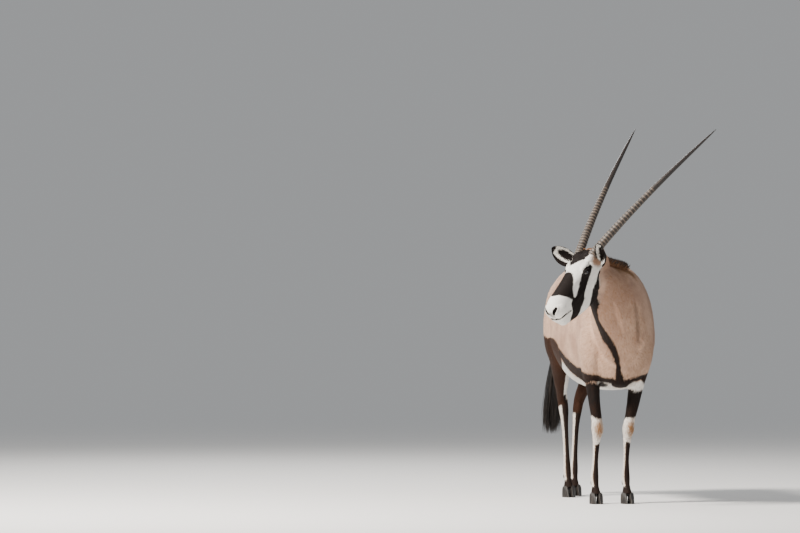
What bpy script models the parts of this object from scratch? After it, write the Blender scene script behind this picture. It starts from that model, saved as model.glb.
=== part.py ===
# A gemsbok standing with its head turned to its right, life size, in metres.
# The animal faces -Y, its left side is +X, and its soles are at z = 0.
import math
import random

import bmesh
import bpy
from mathutils import Matrix, Vector

# Driving sizes
GAP = 0.0003                  # kept between nodes that touch
STAND_OFFSET = Vector((0.02, 0.140, 0.0))   # brings the middle of the model's box over the origin
WITHERS = 1.205
CROUP = 1.17
TAIL_ROOT = Vector((-0.045, 0.675, 1.06))
HEAD_YAW = math.radians(57)   # to the animal's right, from straight ahead
HEAD_DROP = math.radians(45)  # of the face line below level
HEAD_ORIGIN = Vector((-0.251, -0.885, 1.240))   # on the forehead, between the horns
HORN_LENGTH = 0.958
HORN_RADIUS = 0.0228
HORN_SPREAD = math.radians(15.6)   # of each horn from the middle line
HORN_LIFT = 0.013             # of the horns above the line of the face
HORN_BOW = 0.021
HORN_RINGS = 24
EAR_LENGTH = 0.178
EAR_BOW = 0.010               # how far the middle of each ear sags
EYE_RADIUS = 0.0190
EYE_PLACE = (0.086, 0.0575, -0.034)   # forward, to the side, up
MANE_ROWS = 22
MANE_HEIGHT = 0.046
MANE_SUNK = 0.018
MANE_SEED = 5
TAIL_TIERS = 4
TAIL_PER_TIER = 6
TAIL_SEED = 11
LEG_CUT = 0.545               # height of the joint line between the legs and the body
HOOF_TOP = 0.052
VOXEL = 0.0065
HEAD_FACES = 1900
BODY_FACES = 3900

COAT_TAN = (0.47, 0.36, 0.29)
COAT_WHITE = (0.82, 0.80, 0.75)
COAT_BLACK = (0.035, 0.025, 0.02)
HORN_BROWN = (0.16, 0.12, 0.09)
HOOF_GREY = (0.06, 0.05, 0.045)
EYE_BLACK = (0.02, 0.012, 0.008)


def clear_scene():
    for item in list(bpy.data.objects):
        bpy.data.objects.remove(item, do_unlink=True)


def collection_named(name):
    made = bpy.data.collections.new(name)
    bpy.context.scene.collection.children.link(made)
    return made


def painted(obj, colour, roughness):
    made = bpy.data.materials.new(obj.name + "_surface")
    made.use_nodes = True
    shader = made.node_tree.nodes["Principled BSDF"]
    shader.inputs["Base Color"].default_value = (*colour, 1.0)
    shader.inputs["Roughness"].default_value = roughness
    shader.inputs["Metallic"].default_value = 0.0
    obj.data.materials.clear()
    obj.data.materials.append(made)


def add_object(name, bm):
    mesh = bpy.data.meshes.new(name)
    bmesh.ops.recalc_face_normals(bm, faces=bm.faces)
    bm.to_mesh(mesh)
    bm.free()
    made = bpy.data.objects.new(name, mesh)
    bpy.context.scene.collection.objects.link(made)
    return made


def eased(rows, steps):
    # Points of a smooth curve through the rows, each a plain list of numbers.
    out = []
    for i in range(len(rows) - 1):
        a, b = rows[max(i - 1, 0)], rows[i]
        c, d = rows[i + 1], rows[min(i + 2, len(rows) - 1)]
        for k in range(steps):
            t = k / steps
            out.append([
                0.5 * (2 * q + (r - p) * t + (2 * p - 5 * q + 4 * r - s) * t ** 2
                       + (3 * q - p - 3 * r + s) * t ** 3)
                for p, q, r, s in zip(a, b, c, d)
            ])
    out.append(list(rows[-1]))
    return out


def bent(value, power):
    return math.copysign(abs(value) ** power, value)


def ring(centre, side, up, half, rise, drop, count=20, fullness=1.0, pinch=0.0):
    # An oval with its own height above and below its widest line.
    points = []
    for k in range(count):
        turn = 2 * math.pi * k / count
        high = bent(math.sin(turn), fullness)
        across = bent(math.cos(turn), fullness) * (1 - pinch * max(0.0, -high))
        points.append(centre + side * (half * across) + up * ((rise if high > 0 else drop) * high))
    return points


def loft(name, rings):
    bm = bmesh.new()
    loops = [[bm.verts.new(p) for p in points] for points in rings]
    for low, high in zip(loops, loops[1:]):
        for k in range(len(low)):
            n = (k + 1) % len(low)
            bm.faces.new((low[k], low[n], high[n], high[k]))
    bm.faces.new(loops[0][::-1])
    bm.faces.new(loops[-1])
    return add_object(name, bm)


def tube(name, rows, side=Vector((1, 0, 0)), steps=4, count=16):
    # Each row is x, y, z, half the size along side, and half the size across it.
    fine = eased(rows, steps)
    centres = [Vector(row[:3]) for row in fine]
    rings = []
    for i, row in enumerate(fine):
        along = (centres[min(i + 1, len(fine) - 1)] - centres[max(i - 1, 0)]).normalized()
        across = (side - along * side.dot(along)).normalized()
        rings.append(ring(centres[i], across, along.cross(across), row[3], row[4], row[4], count))
    return loft(name, rings)


def ball(name, centre, radii, turn=Matrix.Identity(3), segments=20):
    bm = bmesh.new()
    bmesh.ops.create_uvsphere(bm, u_segments=segments, v_segments=segments // 2, radius=1.0)
    shape = turn.to_4x4() @ Matrix.Diagonal((*radii, 1.0))
    bmesh.ops.transform(bm, matrix=Matrix.Translation(centre) @ shape, verts=bm.verts)
    return add_object(name, bm)


def box(name, centre, size, turn=Matrix.Identity(3)):
    bm = bmesh.new()
    bmesh.ops.create_cube(bm, size=1.0)
    shape = turn.to_4x4() @ Matrix.Diagonal((*size, 1.0))
    bmesh.ops.transform(bm, matrix=Matrix.Translation(centre) @ shape, verts=bm.verts)
    return add_object(name, bm)


def apply_modifiers(obj):
    graph = bpy.context.evaluated_depsgraph_get()
    made = bpy.data.meshes.new_from_object(obj.evaluated_get(graph))
    obj.modifiers.clear()
    old = obj.data
    obj.data = made
    bpy.data.meshes.remove(old)
    return obj


def copy_of(obj, name):
    made = bpy.data.objects.new(name, obj.data.copy())
    bpy.context.scene.collection.objects.link(made)
    return made


def remove(*objects):
    for item in objects:
        bpy.data.objects.remove(item, do_unlink=True)


def boolean(obj, other, operation, solver="MANIFOLD"):
    step = obj.modifiers.new("Boolean", "BOOLEAN")
    step.operation = operation
    step.object = other
    step.solver = solver
    return apply_modifiers(obj)


def fused(name, pieces, voxel, smoothing):
    # One skin over all the pieces, evened out where they meet.
    bm = bmesh.new()
    for piece in pieces:
        bm.from_mesh(piece.data)
    made = add_object(name, bm)
    step = made.modifiers.new("Remesh", "REMESH")
    step.mode = "VOXEL"
    step.voxel_size = voxel
    step = made.modifiers.new("Smooth", "SMOOTH")
    step.factor = 0.5
    step.iterations = smoothing
    return apply_modifiers(made)


def coarser(obj, faces):
    step = obj.modifiers.new("Decimate", "DECIMATE")
    step.ratio = min(1.0, faces / sum(len(p.vertices) - 2 for p in obj.data.polygons))
    step.use_collapse_triangulate = True
    return apply_modifiers(obj)


# Torso: y, middle x, top, bottom, half width, height of the widest line
TORSO = (
    (-0.615, 0.004, 0.86, 0.64, 0.070, 0.76),
    (-0.585, 0.003, 0.97, 0.590, 0.124, 0.79),
    (-0.510, 0.003, 1.09, 0.566, 0.166, 0.83),
    (-0.410, 0.004, WITHERS - 0.035, 0.560, 0.186, 0.85),
    (-0.300, 0.006, WITHERS - 0.015, 0.556, 0.189, 0.84),
    (-0.180, 0.006, 1.172, 0.552, 0.193, 0.82),
    (0.000, -0.002, 1.150, 0.552, 0.203, 0.80),
    (0.160, -0.008, 1.145, 0.562, 0.205, 0.80),
    (0.300, -0.015, 1.158, 0.592, 0.196, 0.83),
    (0.430, -0.022, CROUP, 0.645, 0.182, 0.87),
    (0.540, -0.030, 1.150, 0.715, 0.165, 0.90),
    (0.630, -0.036, 1.105, 0.800, 0.130, 0.93),
    (0.690, -0.040, 1.030, 0.885, 0.070, 0.95),
)

# Neck: centre x, y, z, crest x, y, z, half width
NECK = (
    (0.000, -0.400, 0.900, 0.005, -0.290, 1.170, 0.165),
    (-0.002, -0.520, 0.925, 0.015, -0.430, 1.172, 0.152),
    (-0.032, -0.630, 0.980, 0.000, -0.570, 1.168, 0.124),
    (-0.086, -0.722, 1.032, -0.050, -0.675, 1.175, 0.104),
    (-0.135, -0.790, 1.078, -0.105, -0.760, 1.188, 0.090),
    (-0.175, -0.835, 1.115, -0.155, -0.820, 1.202, 0.080),
    (-0.215, -0.862, 1.142, -0.205, -0.850, 1.214, 0.070),
)

# Legs: x, y, z, half the side to side size, half the front to back size
FORELEG_LEFT = (
    (0.100, -0.450, 0.860, 0.070, 0.115),
    (0.104, -0.470, 0.760, 0.070, 0.115),
    (0.102, -0.435, 0.660, 0.056, 0.085),
    (0.092, -0.436, 0.580, 0.042, 0.056),
    (0.078, -0.445, 0.500, 0.034, 0.042),
    (0.060, -0.452, 0.420, 0.028, 0.033),
    (0.051, -0.460, 0.368, 0.031, 0.036),
    (0.046, -0.454, 0.315, 0.021, 0.027),
    (0.042, -0.450, 0.220, 0.0165, 0.023),
    (0.040, -0.452, 0.130, 0.0225, 0.028),
    (0.040, -0.472, 0.085, 0.0200, 0.024),
    (0.040, -0.486, 0.040, 0.0310, 0.037),
)
FORELEG_RIGHT = (
    (-0.115, -0.450, 0.860, 0.070, 0.115),
    (-0.125, -0.470, 0.760, 0.070, 0.115),
    (-0.127, -0.435, 0.660, 0.055, 0.085),
    (-0.123, -0.436, 0.580, 0.038, 0.054),
    (-0.117, -0.445, 0.500, 0.031, 0.041),
    (-0.107, -0.452, 0.420, 0.028, 0.033),
    (-0.104, -0.460, 0.368, 0.032, 0.036),
    (-0.108, -0.454, 0.315, 0.021, 0.027),
    (-0.113, -0.450, 0.220, 0.0165, 0.023),
    (-0.117, -0.452, 0.130, 0.0225, 0.028),
    (-0.117, -0.472, 0.085, 0.0200, 0.024),
    (-0.117, -0.486, 0.040, 0.0310, 0.037),
)
HINDLEG_RIGHT = (
    (-0.105, 0.470, 1.020, 0.070, 0.130),
    (-0.130, 0.450, 0.920, 0.082, 0.170),
    (-0.142, 0.425, 0.800, 0.076, 0.160),
    (-0.140, 0.405, 0.700, 0.060, 0.115),
    (-0.132, 0.440, 0.610, 0.044, 0.074),
    (-0.121, 0.490, 0.535, 0.031, 0.052),
    (-0.111, 0.517, 0.485, 0.028, 0.046),
    (-0.105, 0.508, 0.430, 0.025, 0.034),
    (-0.103, 0.486, 0.350, 0.018, 0.026),
    (-0.101, 0.462, 0.230, 0.0170, 0.024),
    (-0.100, 0.440, 0.130, 0.0220, 0.028),
    (-0.100, 0.420, 0.085, 0.0195, 0.024),
    (-0.100, 0.405, 0.040, 0.0300, 0.036),
)
HINDLEG_LEFT = (
    (0.045, 0.500, 1.020, 0.070, 0.130),
    (0.072, 0.500, 0.920, 0.082, 0.170),
    (0.085, 0.500, 0.800, 0.076, 0.160),
    (0.072, 0.510, 0.700, 0.060, 0.115),
    (0.045, 0.570, 0.610, 0.044, 0.074),
    (0.015, 0.640, 0.535, 0.031, 0.052),
    (0.003, 0.675, 0.485, 0.028, 0.046),
    (-0.008, 0.670, 0.430, 0.025, 0.034),
    (-0.018, 0.655, 0.350, 0.018, 0.026),
    (-0.027, 0.640, 0.230, 0.0170, 0.024),
    (-0.033, 0.622, 0.130, 0.0220, 0.028),
    (-0.035, 0.602, 0.085, 0.0195, 0.024),
    (-0.037, 0.588, 0.040, 0.0300, 0.036),
)
# Hooves: x and y of the middle of each sole
HOOVES = {
    "foreleg_left": (0.040, -0.500),
    "foreleg_right": (-0.117, -0.500),
    "hindleg_left": (-0.037, 0.572),
    "hindleg_right": (-0.100, 0.390),
}

# Head, in its own frame: distance forward of the horns, top, bottom, half width, height of the widest line
HEAD = (
    (-0.085, -0.032, -0.150, 0.050, -0.085),
    (-0.050, -0.006, -0.178, 0.068, -0.080),
    (0.000, 0.008, -0.194, 0.077, -0.076),
    (0.050, 0.014, -0.208, 0.078, -0.074),
    (0.095, 0.013, -0.212, 0.071, -0.077),
    (0.145, 0.009, -0.207, 0.065, -0.082),
    (0.200, 0.005, -0.196, 0.061, -0.083),
    (0.250, 0.003, -0.182, 0.058, -0.082),
    (0.288, 0.002, -0.169, 0.0565, -0.079),
    (0.318, -0.004, -0.158, 0.054, -0.077),
    (0.341, -0.018, -0.144, 0.047, -0.077),
    (0.355, -0.040, -0.118, 0.034, -0.076),
)
HEAD_PINCH = 0.30             # narrowing towards the lower jaw

# Ears: root in the head's frame, direction, direction of the opening
EARS = {
    "left": ((-0.004, 0.060, -0.080), Vector((-0.15, -0.76, 0.60)), Vector((-0.92, -0.30, -0.10))),
    "right": ((-0.004, -0.064, -0.080), Vector((-0.85, 0.23, 0.50)), Vector((-0.25, -0.95, -0.05))),
}

# Tail: x, y, z, half width, half depth
DOCK = (
    (-0.040, 0.640, 1.065, 0.026, 0.024),
    (-0.048, 0.690, 1.040, 0.022, 0.020),
    (-0.066, 0.712, 0.960, 0.018, 0.017),
    (-0.088, 0.722, 0.860, 0.016, 0.015),
    (-0.108, 0.730, 0.760, 0.014, 0.014),
)


def head_axes():
    level = Vector((-math.sin(HEAD_YAW), -math.cos(HEAD_YAW), 0))
    forward = level * math.cos(HEAD_DROP) - Vector((0, 0, math.sin(HEAD_DROP)))
    left = Vector((math.cos(HEAD_YAW), -math.sin(HEAD_YAW), 0))
    return forward, left, forward.cross(left)


FORWARD, LEFT, DORSAL = head_axes()
HEAD_TURN = Matrix((FORWARD, LEFT, DORSAL)).transposed()


def at_head(forward, left, up):
    return HEAD_ORIGIN + FORWARD * forward + LEFT * left + DORSAL * up


def torso_loft():
    rings = []
    for y, mid, top, bottom, half, widest in eased(TORSO, 3):
        centre = Vector((mid, y, widest))
        rings.append(ring(centre, Vector((1, 0, 0)), Vector((0, 0, 1)), half,
                          top - widest, widest - bottom, 28, 0.93))
    return loft("torso_core", rings)


def neck_loft():
    rows = eased(NECK, 4)
    centres = [Vector(row[:3]) for row in rows]
    rings = []
    for i, row in enumerate(rows):
        crest = Vector(row[3:6]) - centres[i]
        along = (centres[min(i + 1, len(rows) - 1)] - centres[max(i - 1, 0)]).normalized()
        side = crest.cross(along).normalized()
        rings.append(ring(centres[i], side, crest.normalized(), row[6], crest.length, crest.length, 24))
    return loft("neck_core", rings)


def head_loft():
    rings = []
    for far, top, bottom, half, widest in eased(HEAD, 3):
        rings.append(ring(at_head(far, 0, widest), LEFT, DORSAL, half,
                          top - widest, widest - bottom, 24, 0.88, HEAD_PINCH))
    return loft("head_core", rings)


def flesh():
    pieces = [torso_loft(), neck_loft(), head_loft()]
    for rows in (FORELEG_LEFT, FORELEG_RIGHT, HINDLEG_LEFT, HINDLEG_RIGHT):
        pieces.append(tube("leg_core", rows))
    for sign in (1, -1):
        pieces.append(ball("orbit", at_head(EYE_PLACE[0], sign * EYE_PLACE[1], EYE_PLACE[2]),
                           (EYE_RADIUS + 0.0062,) * 3))
        pieces.append(ball("brow", at_head(0.066, sign * 0.054, -0.010), (0.032, 0.017, 0.016), HEAD_TURN))
        pieces.append(ball("cheek", at_head(0.055, sign * 0.050, -0.115), (0.065, 0.026, 0.050), HEAD_TURN))
        pieces.append(ball("lip", at_head(0.312, sign * 0.028, -0.062), (0.046, 0.031, 0.042), HEAD_TURN))
        pieces.append(ball("horn_root", at_head(0.006, sign * 0.036, -0.012), (0.036, 0.037, 0.027), HEAD_TURN))
    pieces.append(ball("chin", at_head(0.315, 0, -0.132), (0.034, 0.030, 0.026), HEAD_TURN))
    for x, y in ((0.070, 0.560), (-0.120, 0.540)):
        pieces.append(ball("buttock", Vector((x, y + 0.02, 0.885)), (0.078, 0.105, 0.205)))
    whole = fused("whole", pieces, VOXEL, 5)
    remove(*pieces)
    return whole


def half_of(obj, point, normal, name):
    # The part of a closed shape on the side the normal points to, closed again.
    bm = bmesh.new()
    bm.from_mesh(obj.data)
    found = bmesh.ops.bisect_plane(bm, geom=bm.verts[:] + bm.edges[:] + bm.faces[:], dist=1e-6,
                                   plane_co=point, plane_no=normal, clear_inner=True)
    edges = [e for e in found["geom_cut"] if isinstance(e, bmesh.types.BMEdge)]
    filled = bmesh.ops.holes_fill(bm, edges=edges, sides=0)
    bmesh.ops.triangulate(bm, faces=filled["faces"])
    return add_object(name, bm)


def islands(obj):
    # Vertex groups of each separate surface, largest first.
    bm = bmesh.new()
    bm.from_mesh(obj.data)
    bm.verts.ensure_lookup_table()
    seen = set()
    found = []
    for start in bm.verts:
        if start.index in seen:
            continue
        stack = [start]
        seen.add(start.index)
        group = []
        while stack:
            v = stack.pop()
            group.append(v.index)
            for e in v.link_edges:
                w = e.other_vert(v)
                if w.index not in seen:
                    seen.add(w.index)
                    stack.append(w)
        found.append(group)
    bm.free()
    return sorted(found, key=len, reverse=True)


def only(obj, keep, name):
    bm = bmesh.new()
    bm.from_mesh(obj.data)
    bm.verts.ensure_lookup_table()
    wanted = set(keep)
    bmesh.ops.delete(bm, geom=[v for v in bm.verts if v.index not in wanted], context="VERTS")
    return add_object(name, bm)


def largest(obj):
    name = obj.name
    made = only(obj, islands(obj)[0], name + "_kept")
    remove(obj)
    made.name = name
    return made


def grown(obj, amount, name="grown"):
    bm = bmesh.new()
    bm.from_mesh(obj.data)
    bm.normal_update()
    moves = [v.normal * amount for v in bm.verts]
    for v, move in zip(bm.verts, moves):
        v.co += move
    return add_object(name, bm)


def seated(piece, host):
    # Trims the piece so that it stands on the host with the usual gap.
    cutter = grown(host, GAP * 1.5)
    boolean(piece, cutter, "DIFFERENCE")
    remove(cutter)
    return largest(piece)


def horn(name, sign):
    base = at_head(0.045, sign * 0.033, -0.018)
    # Distances along the horn with a swelling for each ring, closer together near the root.
    places = []
    for k in range(HORN_RINGS):
        at = 0.055 + 0.50 * (k / HORN_RINGS) ** 1.15
        rise = 0.075 * (1 - 0.55 * k / HORN_RINGS)
        places += [(at - 0.004, 0.0), (at + 0.0035, rise)]
    places = [(0.038, -0.04), (0.047, 0.0)] + places
    places += [(0.575 + 0.415 * k / 9, 0.0) for k in range(10)] + [(1.0, 0.0)]
    rings = []
    for t, rise in places:
        along = HORN_LENGTH * t
        way = LEFT * (sign * math.sin(HORN_SPREAD)) - FORWARD * math.cos(HORN_SPREAD) + DORSAL * HORN_LIFT
        centre = base + way * along + DORSAL * (HORN_BOW * math.sin(math.pi * t ** 0.8))
        r = HORN_RADIUS * (1 - t) ** 0.62 * (1 + rise) + 0.0012
        out = (LEFT - way * LEFT.dot(way)).normalized()
        rings.append(ring(centre, out, out.cross(way), r, r, r, 9))
    return loft(name, rings)


def ear(name, root, way, opening, length):
    # A leaf shaped cup; each ring is a crescent, open towards the opening direction.
    way = way.normalized()
    facing = (opening - way * opening.dot(way)).normalized()
    side = way.cross(facing)
    rings = []
    count = 7
    rows = ((0.00, 0.014, 0.30, 0.009), (0.10, 0.018, 0.45, 0.007), (0.22, 0.027, 0.75, 0.0042),
            (0.38, 0.037, 0.80, 0.0036), (0.55, 0.043, 0.72, 0.0034), (0.72, 0.041, 0.60, 0.0032),
            (0.87, 0.030, 0.48, 0.0030), (0.96, 0.016, 0.35, 0.0028), (1.00, 0.005, 0.20, 0.0026))
    for far, half, cup, thick in rows:
        centre = root + way * (length * far) - Vector((0, 0, EAR_BOW * 4 * far * (1 - far)))
        back = []
        front = []
        for k in range(count):
            u = -1 + 2 * k / (count - 1)
            depth = half * cup * (1 - u * u)
            rim = thick * (0.35 + 0.65 * (1 - u ** 4))
            back.append(centre + side * (half * u) - facing * depth)
            front.append(centre + side * (half * u * 0.96) - facing * (depth - rim))
        rings.append(back + front[::-1])
    return loft(name, rings)


def eye(name, sign):
    return ball(name, at_head(EYE_PLACE[0], sign * EYE_PLACE[1], EYE_PLACE[2]), (EYE_RADIUS,) * 3, HEAD_TURN, 16)


def eye_axes(sign):
    centre = at_head(EYE_PLACE[0], sign * EYE_PLACE[1], EYE_PLACE[2])
    out = (LEFT * sign * 0.90 + DORSAL * 0.34 + FORWARD * 0.24).normalized()
    front = (FORWARD - out * FORWARD.dot(out)).normalized()
    top = (DORSAL - out * DORSAL.dot(out) - front * DORSAL.dot(front)).normalized()
    return centre, out, front, top


def eye_opening(sign):
    # An almond shaped cutter; what it leaves of the mound over the eyeball is the lids.
    centre, out, front, top = eye_axes(sign)
    rings = []
    for far, size in ((0.4, 0.80), (2.2, 1.25)):
        points = []
        for k in range(14):
            turn = 2 * math.pi * k / 14
            lift = math.sin(turn) * abs(math.sin(turn)) ** 0.25
            spot = front * (0.0165 * math.cos(turn)) + top * ((0.0105 if lift > 0 else 0.0085) * lift)
            points.append(centre + out * (EYE_RADIUS * far) + spot * size)
        rings.append(points)
    return loft("eye_opening", rings)


def lid_rim(sign):
    # The swollen edge of both lids, a tube around the opening.
    centre, out, front, top = eye_axes(sign)
    bm = bmesh.new()
    loops = []
    for k in range(14):
        turn = 2 * math.pi * k / 14
        lift = math.sin(turn) * abs(math.sin(turn)) ** 0.25
        spot = front * (0.0172 * math.cos(turn)) + top * ((0.0112 if lift > 0 else 0.0092) * lift)
        rise = math.sqrt((EYE_RADIUS + 0.0016) ** 2 - spot.length_squared)
        middle = centre + spot + out * rise
        wide = spot.normalized()
        deep = (middle - centre).normalized()
        thick = 0.0032 if lift > 0 else 0.0025
        loops.append([bm.verts.new(middle + (wide * math.cos(a) + deep * math.sin(a)) * thick)
                      for a in (0, 1.05, 2.09, 3.14, 4.19, 5.24)])
    for a, b in zip(loops, loops[1:] + loops[:1]):
        for k in range(6):
            n = (k + 1) % 6
            bm.faces.new((a[k], a[n], b[n], b[k]))
    return add_object("lid", bm)


def muzzle_cutters():
    made = []
    for sign in (1, -1):
        turn = HEAD_TURN @ Matrix.Rotation(math.radians(38 * sign), 3, "Z") @ Matrix.Rotation(math.radians(-30), 3, "Y")
        made.append(ball("nostril", at_head(0.345, sign * 0.028, -0.051), (0.021, 0.0085, 0.0105), turn, 12))
        rows = ((0.366, 0.003, -0.103), (0.352, 0.020, -0.103), (0.330, 0.0375, -0.106),
                (0.305, 0.0440, -0.112), (0.286, 0.0475, -0.119))
        line = [(*at_head(f, sign * s, u), 0.0028, 0.0060) for f, s, u in rows]
        made.append(tube("mouth", line, DORSAL, 3, 8))
    return made


def hoof(name, x, y):
    claws = []
    for sign in (1, -1):
        rings = []
        for z, half, front, back, shift in ((0.0, 0.0175, 0.056, 0.036, 0.0), (0.010, 0.0180, 0.052, 0.037, 0.001),
                                            (0.034, 0.0180, 0.036, 0.034, 0.003),
                                            (HOOF_TOP - GAP, 0.0195, 0.024, 0.030, 0.006)):
            points = []
            for k in range(14):
                turn = 2 * math.pi * k / 14
                c, s = math.cos(turn), math.sin(turn)
                reach = front if s < 0 else back
                narrow = 1 - 0.35 * max(0.0, -s) ** 2
                points.append(Vector((x + sign * 0.0172 + half * c * narrow - sign * 0.004 * max(0.0, -s),
                                      y + shift + reach * s, z)))
            rings.append(points)
        claws.append(loft("claw", rings))
    heel = box("heel", Vector((x, y + 0.012, (HOOF_TOP - GAP + 0.016) / 2)), (0.022, 0.030, HOOF_TOP - GAP - 0.016))
    made = union(name, claws + [heel])
    return made


def union(name, pieces):
    # One closed body of all the pieces; the first is the base.
    parts = collection_named(name + "_pieces")
    for piece in pieces[1:]:
        bpy.context.scene.collection.objects.unlink(piece)
        parts.objects.link(piece)
    base = pieces[0]
    step = base.modifiers.new("Union", "BOOLEAN")
    step.operation = "UNION"
    step.operand_type = "COLLECTION"
    step.collection = parts
    step.solver = "MANIFOLD"
    apply_modifiers(base)
    remove(*list(parts.objects))
    bpy.data.collections.remove(parts)
    base.name = name
    return largest(base)


def strip_of_hair(name, root, way, normal, length, width, thick, bend, steps, twist=0.0):
    # A flat lock: four sided, widest low down, bending as it goes and tapering to its tip.
    rings = []
    spot = root.copy()
    direction = way.normalized()
    flat = normal.normalized()
    for k in range(steps + 1):
        t = k / steps
        side = direction.cross(flat).normalized()
        flat = side.cross(direction).normalized()
        size = (0.72 + 0.56 * t) if t < 0.5 else 1.0 - ((t - 0.5) * 2) ** 1.6 * 0.93
        half, deep = width * size * 0.5, thick * size * 0.5
        rings.append([spot + side * half, spot + flat * deep, spot - side * half, spot - flat * deep])
        direction = (direction + bend * (1.0 / steps)).normalized()
        flat = (Matrix.Rotation(twist / steps, 3, direction) @ flat).normalized()
        spot = spot + direction * (length / steps)
    return loft(name, rings)


def crest_points(count):
    rows = eased([row[3:6] for row in NECK[1:]], 8)
    rows = rows + [list(at_head(-0.062, 0, -0.012))]
    spots = [Vector(row) for row in rows]
    lengths = [0.0]
    for a, b in zip(spots, spots[1:]):
        lengths.append(lengths[-1] + (b - a).length)
    out = []
    for k in range(count):
        want = lengths[-1] * k / (count - 1)
        i = max(j for j in range(len(spots) - 1) if lengths[j] <= want + 1e-9)
        t = (want - lengths[i]) / (lengths[i + 1] - lengths[i])
        out.append((spots[i].lerp(spots[i + 1], t), (spots[i + 1] - spots[i]).normalized()))
    return out


def mane_locks():
    # Short erect locks along the crest, leaning a little back, in two uneven rows.
    rng = random.Random(MANE_SEED)
    made = []
    spots = crest_points(MANE_ROWS)
    for k, (spot, along) in enumerate(spots):
        t = k / (MANE_ROWS - 1)
        up = Vector((0, 0, 1))
        across = along.cross(up).normalized()
        out = across.cross(along).normalized()
        tall = MANE_HEIGHT * (0.50 + 0.50 * math.sin(math.pi * (0.06 + 0.72 * t)) ** 0.6)
        for row in (-1, 1):
            lean = row * rng.uniform(0.04, 0.30)
            back = rng.uniform(0.25, 0.70)
            way = out + across * lean - along * back
            root = spot - out * MANE_SUNK + across * (row * 0.006) + along * rng.uniform(-0.006, 0.006)
            turned = across + along * rng.uniform(-0.35, 0.35)
            bend = across * (row * rng.uniform(-0.1, 0.5)) - along * rng.uniform(0.1, 0.6)
            made.append(strip_of_hair("lock", root, way, turned, MANE_SUNK + tall * rng.uniform(0.8, 1.15),
                                      rng.uniform(0.026, 0.036), rng.uniform(0.010, 0.013), bend, 3))
    return made


def tail_core():
    rows = list(DOCK) + [(-0.116, 0.733, 0.690, 0.020, 0.018), (-0.124, 0.736, 0.610, 0.019, 0.017),
                         (-0.130, 0.738, 0.550, 0.010, 0.009), (-0.133, 0.739, 0.520, 0.003, 0.003)]
    return tube("tail", rows, Vector((1, 0, 0)), 2, 10)


def tail_locks():
    # Long locks in tiers down the dock, fanning out and then hanging towards the tip.
    rng = random.Random(TAIL_SEED)
    made = []
    down = Vector((-0.06, 0.0, -1.0)).normalized()
    for tier in range(TAIL_TIERS):
        t = tier / (TAIL_TIERS - 1)
        at = 0.875 - 0.315 * t
        centre = Vector((-0.086 - 0.046 * (0.87 - at) / 0.32, 0.722 + 0.016 * (0.87 - at) / 0.32, at))
        count = TAIL_PER_TIER
        for k in range(count):
            turn = 2 * math.pi * (k + 0.5 * (tier % 2) + rng.uniform(-0.2, 0.2)) / count
            out = Vector((math.cos(turn), math.sin(turn) * 0.8, 0))
            root = centre + out * 0.006 + Vector((0, 0, 0.020))
            way = down + out * rng.uniform(0.10, 0.28) * (1 - 0.3 * t)
            tip = rng.uniform(0.295, 0.40) if tier else rng.uniform(0.42, 0.56)
            length = (root.z - tip) * 1.03
            bend = down * rng.uniform(0.3, 0.8) - out * rng.uniform(0.06, 0.26)
            bend += Vector((rng.uniform(-0.12, 0.12), rng.uniform(-0.10, 0.10), 0))
            made.append(strip_of_hair("lock", root, way, out, length, rng.uniform(0.028, 0.038),
                                      rng.uniform(0.010, 0.013), bend, 4, rng.uniform(-0.9, 0.9)))
    return made


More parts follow.
